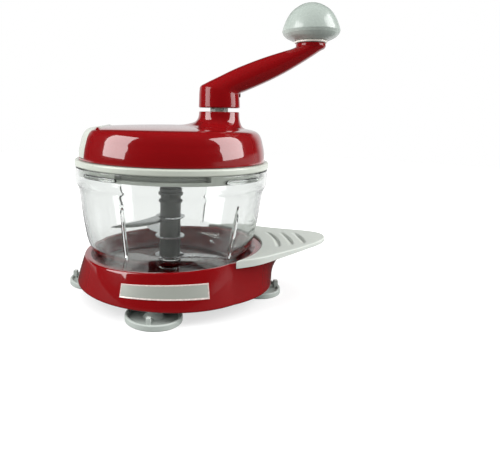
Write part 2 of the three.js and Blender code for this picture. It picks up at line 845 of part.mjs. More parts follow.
function makeLidBase() {
  const outerTopRadius = ringRadius - ringRound;
  let body = turned([
    [driveShaftRadius + runningGap, lidFloorZ],
    [skirtRadius - skirtWall, lidFloorZ],
    [skirtRadius - skirtWall, skirtBottomZ],
    [skirtRadius, skirtBottomZ],
    [skirtRadius, ringBottomZ],
    [ringRadius - ringRound / 2, ringBottomZ],
    [ringRadius, ringBottomZ + ringRound],
    [ringRadius, ringTopZ - ringRound],
    [outerTopRadius, ringTopZ],
    [ringRadius - ringStep, ringTopZ],
    [ringRadius - ringStep, lidFloorTopZ],
    [driveShaftRadius + runningGap, lidFloorTopZ],
  ], wideSteps);
  const slotTopZ = skirtBottomZ + slotBar + slotHeight;
  const slotRoot = skirtRadius - slotDepth;
  const slotReach = skirtRadius + overrun;
  for (let i = 0; i < slotCount; i++) {
    const lowZ = i % 2 ? skirtBottomZ - overrun : skirtBottomZ + slotBar;
    const slot = sector(slotRoot, slotReach, -slotHalfAngle, slotHalfAngle, lowZ, slotTopZ, slotSteps);
    body = body.subtract(slot.rotate([0, 0, 360 * i / slotCount]));
  }
  body = body.add(portForm(0, lidFloorZ + touchGap, portTopZ));
  body = body.subtract(portForm(portWall, lidFloorZ - overrun, portTopZ + overrun));
  const bossTopZ = gearBottomZ - touchGap;
  const bossBottomZ = lidFloorZ + touchGap;
  const shaftHole = driveShaftRadius + runningGap;
  const journalHole = spindleJournalRadius + runningGap;
  const shaftBoss = tube(shaftHole, driveFlangeRadius, bossBottomZ, bossTopZ, middleSteps);
  const spindleBoss = cylinder(spindleRadius + touchGap, bossBottomZ, bossTopZ, middleSteps, towerX);
  const spindleHole = cylinder(journalHole, spindleSeatZ, bossTopZ + overrun, middleSteps, towerX);
  body = body.add(shaftBoss).add(spindleBoss).subtract(spindleHole);
  const screwHole = lidScrewRadius + touchGap;
  for (const [x, y] of lidScrewPlaces()) {
    const hole = cylinder(screwHole, lidFloorZ - overrun, lidFloorTopZ + overrun, smallSteps, x, y);
    body = body.subtract(hole);
  }
  return body;
}

// Upper half of the lid: outline as shares of the wall's radius and of the shell's height
const shellShares = [
  [0.998, 0.06],
  [0.98, 0.45],
  [0.957, 0.75],
  [0.938, 0.86],
  [0.905, 0.93],
  [0.855, 0.962],
  [0.6, 0.985],
  [0, 1],
];

function shellOutline(offset) {
  const outline = shared(shellShares, shellWallRadius, shellBottomZ, lidTopZ - shellBottomZ);
  const moved = offsetOutline(outline, offset);
  moved[0][1] = outline[0][1];
  moved.at(-1)[0] = 0;
  return moved;
}

function shellForm(offset, bottomZ = shellBottomZ) {
  const outline = shellOutline(offset);
  const [footRadius] = outline[0];
  return turned([[0, bottomZ], [footRadius, bottomZ], ...outline], wideSteps);
}

// The door flares from its neck at the hinge to the edge of the lid
function doorPlan(innerX, gap) {
  const farX = -shellLipRadius - overrun;
  const neckY = doorNeckHalfWidth - gap;
  const farY = -farX * doorSlope - gap / Math.cos(degToRad(doorHalfAngle));
  const side = [[innerX, neckY], [doorNeckX, neckY], [farX, farY]];
  const mirrored = side.map(([x, y]) => [x, -y]).reverse();
  return [...side, ...mirrored];
}

function hingeRod(radius, halfLength) {
  const rod = cylinder(radius, -halfLength, halfLength, smallSteps);
  return rod.rotate([90, 0, 0]).translate([doorHingeX, 0, doorHingeZ]);
}

function makeLidShell() {
  const lip = cylinder(shellLipRadius, shellBottomZ, shellBottomZ + shellLipHeight, wideSteps);
  const filletBottomZ = lidTopZ - towerFilletSink;
  const filletSteps = 5;
  const fillet = Array.from({ length: filletSteps + 1 }, (_, i) => {
    const angle = degToRad(90 * i / filletSteps);
    const radius = towerRadius + towerFilletWidth * (1 - Math.sin(angle));
    return [radius, filletBottomZ + (towerFilletHeight + towerFilletSink) * (1 - Math.cos(angle))];
  });
  const tower = turned([
    [0, filletBottomZ - shellWall],
    [towerRadius + towerFilletWidth, filletBottomZ - shellWall],
    ...fillet,
    [towerRadius, towerTopZ],
    [0, towerTopZ],
  ], middleSteps, towerX);
  let shell = shellForm(0).add(lip).add(tower).subtract(shellForm(-shellWall, shellBottomZ - overrun));
  const bushHole = bushRadius + touchGap;
  const bushHoleZ = bushBottomZ - overrun;
  shell = shell.subtract(cylinder(bushHole, bushHoleZ, towerTopZ + overrun, middleSteps, towerX));
  const room = shellForm(-touchGap);
  const bossBottomZ = lidFloorTopZ + touchGap;
  const holeTopZ = lidFloorZ + lidScrewLength + overrun;
  for (const [x, y] of lidScrewPlaces()) {
    const boss = cylinder(lidBossRadius, bossBottomZ, lidTopZ, smallSteps, x, y);
    const hole = cylinder(lidScrewRadius + touchGap, bossBottomZ - overrun, holeTopZ, smallSteps, x, y);
    shell = shell.add(boss.intersect(room)).subtract(hole);
  }
  const openingX = doorHingeX + doorBarrelRadius + doorGap;
  shell = shell.subtract(prism(doorPlan(openingX, 0), doorBottomZ - touchGap, towerTopZ));
  const earEndY = doorEarY + doorEarLength;
  const earBottomZ = doorHingeZ - doorBarrelRadius - touchGap;
  const earLowX = doorHingeX - doorEarWidth / 2;
  const earHighX = doorHingeX + doorEarWidth / 2;
  const frontEar = block(earLowX, earHighX, -earEndY, -doorEarY, earBottomZ, lidTopZ);
  const backEar = block(earLowX, earHighX, doorEarY, earEndY, earBottomZ, lidTopZ);
  const ears = frontEar.add(backEar).intersect(room);
  return shell.add(ears).subtract(hingeRod(doorPinRadius + touchGap, earEndY + touchGap));
}

function makeLidScrew(place) {
  return makeScrew(place, lidFloorZ - touchGap - lidScrewHeadHeight, {
    headRadius: lidScrewHeadRadius,
    headHeight: lidScrewHeadHeight,
    radius: lidScrewRadius,
    length: lidScrewLength,
  });
}

function makeFillDoor() {
  const outer = shellForm(doorProud);
  const inner = shellForm(doorProud - doorWall);
  const plan = prism(doorPlan(doorHingeX, doorGap), doorBottomZ, towerTopZ);
  const skin = outer.subtract(inner).intersect(plan);
  const barrel = hingeRod(doorBarrelRadius, barrelHalfLength);
  return skin.add(barrel).subtract(hingeRod(doorPinRadius + runningGap, doorEarY));
}

const makeDoorPin = () => hingeRod(doorPinRadius, doorEarY + doorEarLength);

// Gears: each tooth is a trapezoid between the root circle and the tip circle
function toothedDisc(teeth, startAngle) {
  const pitchRadius = teeth * gearModule / 2;
  const tipRadius = pitchRadius + toothAddendumShare * gearModule;
  const rootRadius = pitchRadius - toothDedendumShare * gearModule;
  const pitchAngle = 360 / teeth;
  const gapAngle = radToDeg(gearBacklash / pitchRadius);
  const rootHalf = (toothRootShare * pitchAngle - gapAngle) / 2;
  const tipHalf = (toothTipShare * pitchAngle - gapAngle) / 2;
  const outline = [];
  for (let i = 0; i < teeth; i++) {
    const middle = startAngle + i * pitchAngle;
    outline.push(polar(rootRadius, middle - rootHalf));
    outline.push(polar(tipRadius, middle - tipHalf));
    outline.push(polar(tipRadius, middle + tipHalf));
    outline.push(polar(rootRadius, middle + rootHalf));
  }
  return prism(outline, gearBottomZ, gearTopZ);
}

function makeCrankGear() {
  const boreRadius = spindleRadius + touchGap;
  const hubRadiusOfGear = boreRadius + crankGearHubWall;
  const hubTop = gearTopZ + crankGearHubHeight;
  const hub = cylinder(hubRadiusOfGear, gearTopZ - touchGap, hubTop, middleSteps);
  const bore = cylinder(boreRadius, gearBottomZ - overrun, hubTop + overrun, middleSteps);
  let gear = toothedDisc(crankGearTeeth, 180).add(hub).subtract(bore);
  const rootRadius = (crankGearTeeth / 2 - toothDedendumShare) * gearModule;
  const holeReach = (rootRadius + hubRadiusOfGear) / 2;
  for (let i = 0; i < crankGearHoleCount; i++) {
    const [x, y] = polar(holeReach, 360 * (i + 0.5) / crankGearHoleCount);
    const hole = cylinder(crankGearHoleRadius, gearBottomZ - overrun, gearTopZ + overrun, smallSteps, x, y);
    gear = gear.subtract(hole);
  }
  return gear.translate([towerX, 0, 0]);
}

function makeDrivePinion() {
  const boreRadius = driveShaftRadius + touchGap;
  const bore = cylinder(boreRadius, gearBottomZ - overrun, gearTopZ + overrun, middleSteps);
  return toothedDisc(pinionTeeth, 180 / pinionTeeth).subtract(bore);
}

function makeDriveCoupling() {
  const flangeTopZ = lidFloorZ - touchGap;
  const body = turned([
    [0, couplingBottomZ],
    [driveFlangeRadius, couplingBottomZ],
    [driveFlangeRadius, flangeTopZ],
    [driveShaftRadius, flangeTopZ],
    [driveShaftRadius, driveTopZ],
    [0, driveTopZ],
  ], middleSteps);
  const socketOutline = hexagon(postHexWidth + 2 * runningGap);
  const socket = prism(socketOutline, couplingBottomZ - overrun, postHexTopZ + runningGap);
  const play = touchGap / 2;
  const grooveReach = driveShaftRadius + overrun;
  const groove = tube(clipGrooveRadius, grooveReach, clipBottomZ - play, clipTopZ + play, middleSteps);
  return body.subtract(socket).subtract(groove);
}

function makeDriveClip() {
  const ring = tube(clipGrooveRadius + touchGap, clipRadius, clipBottomZ, clipTopZ, middleSteps);
  const half = driveShaftRadius / 2;
  const mouth = block(0, clipRadius + overrun, -half, half, clipBottomZ - overrun, clipTopZ + overrun);
  return ring.subtract(mouth);
}

// Crank: spindle in the tower, arm with hub and end collar, axle and knob
function makeSpindle() {
  return turned([
    [0, spindleSeatZ + touchGap],
    [spindleJournalRadius, spindleSeatZ + touchGap],
    [spindleJournalRadius, gearBottomZ],
    [spindleRadius, gearBottomZ],
    [spindleRadius, spindleTopZ],
    [0, spindleTopZ],
  ], middleSteps, towerX);
}

function makeTowerBush() {
  const boreRadius = spindleRadius + runningGap;
  return tube(boreRadius, bushRadius, bushBottomZ, towerTopZ - touchGap, middleSteps, towerX);
}

// Arm sections from hub to tip: shares of the crank's radius along, of the climb for the lower and
// upper edges, and of the hub's radius for the half width
const armSectionShares = [
  [-0.21, -0.05, 0.04, 0.15],
  [-0.166, -0.05, 0.1, 0.66],
  [-0.08, -0.05, 0.215, 0.93],
  [0.0, -0.05, 0.32, 0.985],
  [0.096, -0.05, 0.42, 0.94],
  [0.18, -0.04, 0.52, 0.88],
  [0.27, 0.04, 0.595, 0.82],
  [0.445, 0.21, 0.75, 0.72],
  [0.62, 0.39, 0.875, 0.66],
  [0.795, 0.615, 0.985, 0.64],
  [0.97, 0.865, 1.06, 0.66],
  [1.06, 0.98, 1.1, 0.6],
  [1.14, 1.04, 1.11, 0.3],
];

function armSection([alongShare, lowShare, highShare, widthShare]) {
  const climb = armTipZ - armRootZ;
  const x = towerX + alongShare * crankRadius;
  const low = armRootZ + lowShare * climb;
  const high = armRootZ + highShare * climb;
  const half = widthShare * hubRadius;
  const squared = (value) => Math.sign(value) * Math.abs(value) ** armSquarenessPower;
  return Array.from({ length: armSides }, (_, i) => {
    const angle = 2 * Math.PI * (i + 0.5) / armSides;
    const up = squared(Math.sin(angle));
    return [x, half * squared(Math.cos(angle)), (low + high) / 2 + (high - low) / 2 * up];
  });
}

function makeCrankArm() {
  const arm = loft(armSectionShares.map(armSection));
  const hub = cylinder(hubRadius, hubBottomZ, hubTopZ, middleSteps, towerX);
  const collar = turned([
    [0, armTipZ - collarHeight / 2],
    [armTipRadius - ringRound, armTipZ - collarHeight / 2],
    [armTipRadius, armTipZ],
    [armTipRadius, collarTopZ - ringRound],
    [armTipRadius - ringRound, collarTopZ],
    [0, collarTopZ],
  ], middleSteps, knobX);
  const boreTopZ = spindleTopZ + touchGap;
  const bore = cylinder(spindleRadius + touchGap, hubBottomZ - overrun, boreTopZ, middleSteps, towerX);
  const axleHoleZ = collarTopZ - axleSink - touchGap;
  const axleHole = cylinder(axleRadius + touchGap, axleHoleZ, collarTopZ + overrun, smallSteps, knobX);
  const screwHole = setScrewForm(touchGap);
  return hub.add(arm).add(collar).subtract(bore).subtract(axleHole).subtract(screwHole);
}

function setScrewForm(gap) {
  const start = spindleRadius + touchGap * 2 - gap;
  const end = hubRadius + setScrewProud + gap;
  const rod = cylinder(setScrewRadius + gap, start, end, smallSteps);
  return rod.rotate([0, 90, 0]).translate([towerX, 0, setScrewZ]);
}

const makeSetScrew = () => setScrewForm(0);

function makeKnobWasher() {
  return tube(axleRadius + touchGap, armTipRadius, collarTopZ + touchGap, washerTopZ, middleSteps, knobX);
}

function makeKnobAxle() {
  return turned([
    [0, collarTopZ - axleSink],
    [axleRadius, collarTopZ - axleSink],
    [axleRadius, axleHeadZ],
    [axleHeadRadius, axleHeadZ],
    [axleHeadRadius, axleHeadZ + axleHeadHeight],
    [0, axleHeadZ + axleHeadHeight],
  ], smallSteps, knobX);
}

// Knob outline as shares of its radius and height, from the foot to the crown
const knobShares = [
  [0.74, 0.09],
  [0.955, 0.215],
  [1, 0.29],
  [0.985, 0.38],
  [0.93, 0.5],
  [0.83, 0.635],
  [0.67, 0.78],
  [0.46, 0.9],
  [0.22, 0.98],
  [0, 1],
];

function makeKnob() {
  const bore = axleRadius + runningGap;
  const headSpace = axleHeadRadius + runningGap;
  const headLowZ = axleHeadZ - runningGap;
  const headHighZ = axleHeadZ + axleHeadHeight + runningGap;
  const outside = shared(knobShares, knobRadius, knobBottomZ, knobHeight);
  const body = turned([[0, knobBottomZ], [knobFootRadius, knobBottomZ], ...outside], middleSteps, knobX);
  const hollow = turned([
    [0, knobBottomZ - overrun],
    [bore, knobBottomZ - overrun],
    [bore, headLowZ],
    [headSpace, headLowZ],
    [headSpace, headHighZ],
    [0, headHighZ],
  ], middleSteps, knobX);
  return body.subtract(hollow);
}

// Assembly
const chopper = new THREE.Group();

function add(name, body, material) {
  const mesh = new THREE.Mesh(geometryOf(body), material);
  mesh.name = name;
  chopper.add(mesh);
}

add('base_shell', makeBaseShell(), redPlastic());
add('base_plate', makeBasePlate(), darkPlastic());
add('grip_pad', makeGripPad(), greyRubber());
add('name_plate', makeNamePlate(), plateMetal());
footPlaces().forEach((place) => add(`foot_${place.name}`, makeFoot(place), greyRubber()));
baseScrewPlaces().forEach((place, i) => add(`base_screw_${i + 1}`, makeBaseScrew(place), steel()));

add('bowl', makeBowl(), clearPlastic());
add('bowl_pin', makeBowlPin(), steel());

add('blade_post', makePost(), darkPlastic());
add('blade_low', makeBlade(lowBladeZ, 0), steel());
add('blade_middle', makeBlade(middleBladeZ, 120), steel());
add('blade_high', makeBlade(highBladeZ, 240), steel());

add('lid_base', makeLidBase(), greyPlastic());
add('lid_shell', makeLidShell(), redPlastic());
add('tower_bush', makeTowerBush(), whitePlastic());
add('door_pin', makeDoorPin(), steel());
lidScrewPlaces().forEach((place, i) => add(`lid_screw_${i + 1}`, makeLidScrew(place), steel()));
add('fill_door', makeFillDoor(), greyPlastic());

add('drive_pinion', makeDrivePinion(), whitePlastic());
add('drive_coupling', makeDriveCoupling(), darkPlastic());
add('drive_clip', makeDriveClip(), steel());

add('crank_gear', makeCrankGear(), whitePlastic());
add('crank_spindle', makeSpindle(), greyPlastic());
add('crank_arm', makeCrankArm(), redPlastic());
add('crank_set_screw', makeSetScrew(), blackSteel());
add('knob_axle', makeKnobAxle(), steel());
add('knob_washer', makeKnobWasher(), whitePlastic());
add('knob', makeKnob(), greyPlastic());

// The origin is under the middle of the whole outline
const leftFoot = footPlaces().find(({ name }) => name === 'left');
const lowX = leftFoot.x - cupRadius;
const highX = knobX + knobRadius;
chopper.position.x = -(lowX + highX) / 2;

export default chopper;
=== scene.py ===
import json
import math

import bmesh
import bpy
import numpy as np
from mathutils import Euler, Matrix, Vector


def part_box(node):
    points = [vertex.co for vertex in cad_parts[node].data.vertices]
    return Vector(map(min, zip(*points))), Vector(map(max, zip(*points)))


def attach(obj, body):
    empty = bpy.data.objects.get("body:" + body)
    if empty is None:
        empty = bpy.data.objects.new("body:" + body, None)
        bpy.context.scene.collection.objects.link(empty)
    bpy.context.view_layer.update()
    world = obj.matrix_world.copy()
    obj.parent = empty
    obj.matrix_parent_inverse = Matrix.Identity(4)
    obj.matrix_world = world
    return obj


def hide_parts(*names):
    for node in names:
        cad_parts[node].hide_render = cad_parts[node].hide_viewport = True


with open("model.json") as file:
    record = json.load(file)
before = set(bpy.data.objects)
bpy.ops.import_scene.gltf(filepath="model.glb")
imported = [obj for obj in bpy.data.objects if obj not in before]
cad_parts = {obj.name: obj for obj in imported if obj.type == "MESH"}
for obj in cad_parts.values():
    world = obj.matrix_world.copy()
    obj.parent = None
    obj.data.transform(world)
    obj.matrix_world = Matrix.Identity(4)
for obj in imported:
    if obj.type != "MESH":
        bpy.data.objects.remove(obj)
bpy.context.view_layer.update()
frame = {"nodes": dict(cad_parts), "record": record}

MM = 0.001
bowl_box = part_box("bowl")
axis_x = (bowl_box[0].x + bowl_box[1].x) / 2


def corners(node):
    """Lowest and highest corner of a CAD node, in mm from the bowl's axis."""
    low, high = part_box(node)
    shift = Vector((axis_x, 0, 0))
    return (low - shift) / MM, (high - shift) / MM


def middle(node):
    low, high = corners(node)
    return (low + high) / 2


# Gap between pieces that seat on each other
seat_gap = 0.3

# Bowl
rim_radius = corners("bowl")[1].x
bowl_bottom_z = corners("bowl")[0].z
bowl_rim_z = corners("bowl")[1].z
bowl_wall = 2.3
bowl_floor_z = bowl_bottom_z + bowl_wall
bowl_shares = [
    (0.63, 0), (0.7, 0.025), (0.764, 0.119), (0.848, 0.253), (0.889, 0.398), (0.921, 0.555),
    (0.941, 0.68), (0.952, 0.735), (0.963, 0.785), (0.976, 0.812), (0.989, 0.835), (0.997, 0.865),
    (1, 0.9), (1, 1),
]
pin_boss_top_z = bowl_floor_z + 11.7
rib_angles = (-118, -48, 62, 132)
rib_depth = 3.0
rib_half_width = 1.0
rib_low_z = 46.0
rib_high_z = 88.0

# Base
base_bottom_z = corners("base_shell")[0].z
base_rim_z = 39.6
base_wall = 2.6
base_belly = 0.2
base_flare = 6.2
base_recess = 8.0
deck_width = 3.4
deck_slope = 0.06
well_clearance = 3.9
well_floor_z = bowl_bottom_z - seat_gap
well_floor_radius = bowl_shares[0][0] * rim_radius + 2.4
well_shares = [(0, 0), (0.3, 0.12), (0.8, 0.55), (1, 1)]

# Grip: the wing of the base, and the soft pad on it
grip_angle = 5.0
wing_half_angle = 57.0
wing_low_reach = 10.0
wing_high_reach = 36.0
wing_flare_power = 3.2
wing_sharpness_power = 1.2
pad_height = 2.0
pad_length = 56.4
pad_margin = 10.0
pad_overhang = 3.4
pad_half_angle = 54.07
pad_horn_share = 0.992
groove_half_angles = (15.6, 11.5, 8.8)
groove_margin = 11.0
groove_pitch = 11.25
groove_width = 5.0
groove_depth = 1.8

# Lid
ring_radius = corners("lid_base")[1].x
ring_height = 5.5
skirt_bottom_z = corners("lid_base")[0].z
ring_bottom_z = bowl_rim_z + seat_gap
ring_top_z = ring_bottom_z + ring_height
lid_floor_z = bowl_rim_z + 1.6
lid_floor_top_z = lid_floor_z + 2.5
port_top_z = corners("lid_base")[1].z
shell_bottom_z = corners("lid_shell")[0].z
shell_lip_radius = corners("lid_shell")[1].x
shell_lip_height = 1.6
shell_wall = 2.4
shell_wall_radius = shell_lip_radius - 0.9
lid_top_z = shell_bottom_z + 31
shell_shares = [
    (1.01, 0.05), (1.009, 0.13), (1.006, 0.226), (1, 0.355), (0.99, 0.474), (0.98, 0.594),
    (0.966, 0.697), (0.949, 0.774), (0.925, 0.832), (0.894, 0.868), (0.849, 0.894), (0.747, 0.923),
    (0.6, 0.948), (0.3, 0.981), (0, 1),
]

# Crank tower: its fillet is a list of (out from the tower, up from the lid)
tower_x = middle("crank_spindle").x
tower_radius = 18.4
tower_top_z = corners("lid_shell")[1].z
tower_fillet = [
    (20, -0.03), (15, 0.4), (12, 0.9), (8.4, 1.8), (4.7, 3.2), (2.6, 4.6), (1.3, 6.3), (0.4, 8.6),
    (0, 11.5),
]
bush_radius = 11.4
spindle_radius = corners("crank_spindle")[1].x - tower_x

# Fill door: a wedge of the lid's wall, with a straight neck at its hinge
hinge_x = middle("door_pin").x
hinge_z = middle("door_pin").z
door_half_angle = 29.0
neck_x = hinge_x - 3.5
neck_half_width = -neck_x * math.tan(math.radians(door_half_angle))

# Crank and knob
hub_bottom_z = tower_top_z + 3.5
knob_x = middle("knob").x
knob_bottom_z = corners("knob")[0].z
knob_top_z = corners("knob")[1].z
knob_radius = corners("knob")[1].y
collar_radius = 13.2
collar_top_z = corners("knob_washer")[0].z - seat_gap

# Fineness of the forms
ROUND = 192
SMALL_ROUND = 96
TINY = 1e-6


# Shapes: a mesh is a list of points and a list of faces
def polar(radius, angle):
    return radius * math.cos(math.radians(angle)), radius * math.sin(math.radians(angle))


def mix(a, b, t):
    return a + (b - a) * t


def eased(i, count):
    """Share of the way at a step, with short steps at both ends."""
    return 0.5 - 0.5 * math.cos(math.pi * i / count)


def soft_step(value):
    """Zero below 0, one above 1, and a smooth rise between them."""
    share = min(max(value, 0), 1)
    return share * share * (3 - 2 * share)


def arc(radius, start, end, steps):
    return [polar(radius, mix(start, end, i / steps)) for i in range(steps + 1)]


def circle(radius, z, steps=ROUND, x=0.0):
    return [(x + across, along, z) for across, along in arc(radius, 0, 360, steps)[:-1]]


def joined(*meshes):
    points = []
    faces = []
    for part_points, part_faces in meshes:
        start = len(points)
        points += list(part_points)
        faces += [tuple(start + i for i in face) for face in part_faces]
    return points, faces


def turned_about_z(mesh, angle, x=0.0, y=0.0):
    points, faces = mesh
    cos, sin = polar(1, angle)
    return [(x + a * cos - b * sin, y + a * sin + b * cos, c) for a, b, c in points], faces


def rounded(outline, steps=5):
    """An open outline of (across, up, fillet radius) with each corner turned into an arc."""
    most_share = 0.49
    result = []
    for i, corner in enumerate(outline):
        here = Vector(corner[:2])
        radius = corner[2] if len(corner) > 2 else 0
        if not radius or i in (0, len(outline) - 1):
            result.append(tuple(here))
            continue
        back = Vector(outline[i - 1][:2]) - here
        ahead = Vector(outline[i + 1][:2]) - here
        half = back.angle(ahead) / 2
        reach = min(radius / math.tan(half), most_share * back.length, most_share * ahead.length)
        radius = reach * math.tan(half)
        start = here + back.normalized() * reach
        end = here + ahead.normalized() * reach
        centre = here + (back.normalized() + ahead.normalized()).normalized() * radius / math.sin(half)
        for step in range(steps + 1):
            spoke = (start - centre).slerp(end - centre, step / steps) * radius
            result.append(tuple(centre + spoke))
    return result


def smooth(points, steps):
    """Points along a smooth curve through the given ones, evenly spread along its length."""
    samples = 24
    points = [Vector(p) for p in points]
    padded = [2 * points[0] - points[1], *points, 2 * points[-1] - points[-2]]
    knots = [0.0]
    for a, b in zip(padded, padded[1:]):
        knots.append(knots[-1] + max((b - a).length, TINY) ** 0.5)
    dense = []
    for i in range(1, len(padded) - 2):
        t0, t1, t2, t3 = knots[i - 1:i + 3]
        for step in range(samples):
            t = mix(t1, t2, step / samples)
            a1 = padded[i - 1].lerp(padded[i], (t - t0) / (t1 - t0))
            a2 = padded[i].lerp(padded[i + 1], (t - t1) / (t2 - t1))
            a3 = padded[i + 1].lerp(padded[i + 2], (t - t2) / (t3 - t2))
            b1 = a1.lerp(a2, (t - t0) / (t2 - t0))
            b2 = a2.lerp(a3, (t - t1) / (t3 - t1))
            dense.append(b1.lerp(b2, (t - t1) / (t2 - t1)))
    dense.append(points[-1])
    lengths = np.cumsum([0] + [(b - a).length for a, b in zip(dense, dense[1:])])
    places = np.linspace(0, lengths[-1], steps + 1)
    columns = [np.interp(places, lengths, [p[k] for p in dense]) for k in range(len(points[0]))]
    return [tuple(float(v) for v in row) for row in zip(*columns)]


def bridge(rings, closed_ring=True, start=None, end=None, loop=False):
    """A skin over rings of points, with each end open, flat, or drawn to a point."""
    size = len(rings[0])
    points = [p for ring in rings for p in ring]
    faces = []
    last = len(rings) if loop else len(rings) - 1
    for i in range(last):
        low = i * size
        high = (i + 1) % len(rings) * size
        for j in range(size if closed_ring else size - 1):
            k = (j + 1) % size
            faces.append((low + j, low + k, high + k, high + j))
    for where, ring, flip in ((start, 0, True), (end, len(rings) - 1, False)):
        if where is None:
            continue
        loop_points = list(range(ring * size, ring * size + size))
        if where == "flat":
            faces.append(tuple(reversed(loop_points)) if flip else tuple(loop_points))
            continue
        points.append(where)
        tip = len(points) - 1
        for j in range(size):
            a, b = loop_points[j], loop_points[(j + 1) % size]
            faces.append((b, a, tip) if flip else (a, b, tip))
    return points, faces


def slab(top, back, size):
    """A closed plate between two like grids of points, each in lines of the given size."""
    count = len(top)
    rows = size - 1
    columns = count // size - 1
    faces = []
    for j in range(columns):
        for i in range(rows):
            a = j * size + i
            b = a + size
            faces.append((a, a + 1, b + 1, b))
            faces.append((count + a, count + b, count + b + 1, count + a + 1))
    border = [j * size for j in range(columns)] + [columns * size + i for i in range(rows)]
    border += [(j + 1) * size - 1 for j in range(columns, 0, -1)] + list(range(rows, 0, -1))
    for a, b in zip(border, border[1:] + border[:1]):
        faces.append((a, b, count + b, count + a))
    return [*top, *back], faces


def lathe(outline, steps=ROUND, x=0.0):
    """A turned form. An outline that starts and ends on the axis is solid, any other is a ring."""
    solid = outline[0][0] == 0 and outline[-1][0] == 0
    rings = [circle(r, z, steps, x) for r, z in (outline[1:-1] if solid else outline)]
    if not solid:
        return bridge(rings, loop=True)
    return bridge(rings, start=(x, 0, outline[0][1]), end=(x, 0, outline[-1][1]))


def turned(outline, x=0.0, steps=4):
    """A small turned form from an outline with fillets."""
    return lathe(rounded(outline, steps), SMALL_ROUND, x)


def prism(outline, bottom_z, top_z):
    rings = [[(x, y, z) for x, y in outline] for z in (bottom_z, top_z)]
    return bridge(rings, start="flat", end="flat")


def rounded_block(low_x, high_x, low_y, high_y, low_z, high_z, radius):
    """A block along X with rounded corners, a little smaller at its two side faces."""
    outline = rounded([(low_x, low_z), (high_x, low_z, radius), (high_x, high_z, radius),
                       (low_x, high_z, radius), (low_x, low_z)], 4)[:-1]
    inset = min(radius, (high_y - low_y) / 3)
    centre_x = (low_x + high_x) / 2
    centre_z = (low_z + high_z) / 2
    scale_x = 1 - inset / (high_x - low_x)
    scale_z = 1 - inset / (high_z - low_z)
    small = [(centre_x + (x - centre_x) * scale_x, centre_z + (z - centre_z) * scale_z)
             for x, z in outline]
    bevel = inset * 0.6
    rings = [[(x, y, z) for x, z in line] for line, y in (
        (small, low_y), (outline, low_y + bevel), (outline, high_y - bevel), (small, high_y))]
    return bridge(rings, start="flat", end="flat")


def placed(name, data):
    made = bpy.data.objects.new(name, data)
    bpy.context.scene.collection.objects.link(made)
    return made


def make(name, mesh, body, material, replaces=(), sharp=35):
    """A piece of the visual model that rides on a CAD body and may stand for CAD nodes."""
    points, faces = mesh
    data = bpy.data.meshes.new(name)
    data.from_pydata([(axis_x + x * MM, y * MM, z * MM) for x, y, z in points], [], faces)
    data.validate()
    piece = placed(name, data)
    recalculate(piece)
    data.materials.append(material)
    shade(piece, sharp)
    if body:
        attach(piece, body)
    if replaces:
        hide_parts(*replaces)
    return piece


def recalculate(piece):
    """Turns all faces outwards."""
    work = bmesh.new()
    work.from_mesh(piece.data)
    bmesh.ops.recalc_face_normals(work, faces=work.faces)
    work.to_mesh(piece.data)
    work.free()


def shade(piece, sharp):
    piece.data.shade_smooth()
    piece.data.set_sharp_from_angle(angle=math.radians(sharp))
    weighted = piece.modifiers.new("weighted", "WEIGHTED_NORMAL")
    weighted.keep_sharp = True


def apply_modifiers(piece):
    bpy.context.view_layer.update()
    evaluated = piece.evaluated_get(bpy.context.evaluated_depsgraph_get())
    data = bpy.data.meshes.new_from_object(evaluated)
    old = piece.data
    piece.modifiers.clear()
    piece.data = data
    bpy.data.meshes.remove(old)


def cut(piece, mesh, sharp=35):
    """Takes the closed form away from the piece."""
    tool = make(piece.name + "_cutter", mesh, None, piece.data.materials[0])
    tool.modifiers.clear()
    piece.modifiers.clear()
    boolean = piece.modifiers.new("cut", "BOOLEAN")
    boolean.operation = "DIFFERENCE"
    boolean.solver = "EXACT"
    boolean.object = tool
    apply_modifiers(piece)
    bpy.data.objects.remove(tool)
    shade(piece, sharp)


# Materials: noise scales are waves to the metre, bump heights are in mm
def node(tree, kind, sockets=None, **settings):
    """The outputs of a new node, with its settings and a number or a link for each given input."""
    made = tree.nodes.new(kind)
    for key, value in settings.items():
        setattr(made, key, value)
    for key, value in (sockets or {}).items():
        if isinstance(value, bpy.types.NodeSocket):
            tree.links.new(value, made.inputs[key])
        else:
            made.inputs[key].default_value = value
    return made.outputs


def math_node(tree, operation, a, b, clamp=False):
    return node(tree, "ShaderNodeMath", {0: a, 1: b}, operation=operation, use_clamp=clamp)[0]


def ramp(tree, value, low, high, at_low, at_high, course="SMOOTHSTEP"):
    """A value that goes from at_low to at_high while the given one goes from low to high."""
    sockets = {"Value": value, "From Min": low, "From Max": high, "To Min": at_low, "To Max": at_high}
    return node(tree, "ShaderNodeMapRange", sockets, interpolation_type=course)["Result"]


def ray_is(tree, kind):
    return node(tree, "ShaderNodeLightPath")[f"Is {kind} Ray"]


def principled(name, **sockets):
    material = bpy.data.materials.new("look_" + name)
    material.use_nodes = True
    shader = material.node_tree.nodes["Principled BSDF"]
    for key, value in sockets.items():
        shader.inputs[key.replace("_", " ")].default_value = value
    return material


def noise(tree, scale, detail, stretch):
    place = node(tree, "ShaderNodeTexCoord")["Object"]
    stretched = node(tree, "ShaderNodeMapping", {"Vector": place, "Scale": stretch})["Vector"]
    sockets = {"Vector": stretched, "Scale": scale, "Detail": detail}
    return node(tree, "ShaderNodeTexNoise", sockets)["Fac"]


def feed(material, key, value):
    tree = material.node_tree
    tree.links.new(value, tree.nodes["Principled BSDF"].inputs[key])


def blend_color(material, factor, low, high):
    sockets = {"Factor": factor, "A": (*low, 1), "B": (*high, 1)}
    blend = node(material.node_tree, "ShaderNodeMix", sockets, data_type="RGBA")
    feed(material, "Base Color", blend["Result"])


def vary_color(material, low, high, scale, detail=4.0, stretch=(1, 1, 1)):
    blend_color(material, noise(material.node_tree, scale, detail, stretch), low, high)


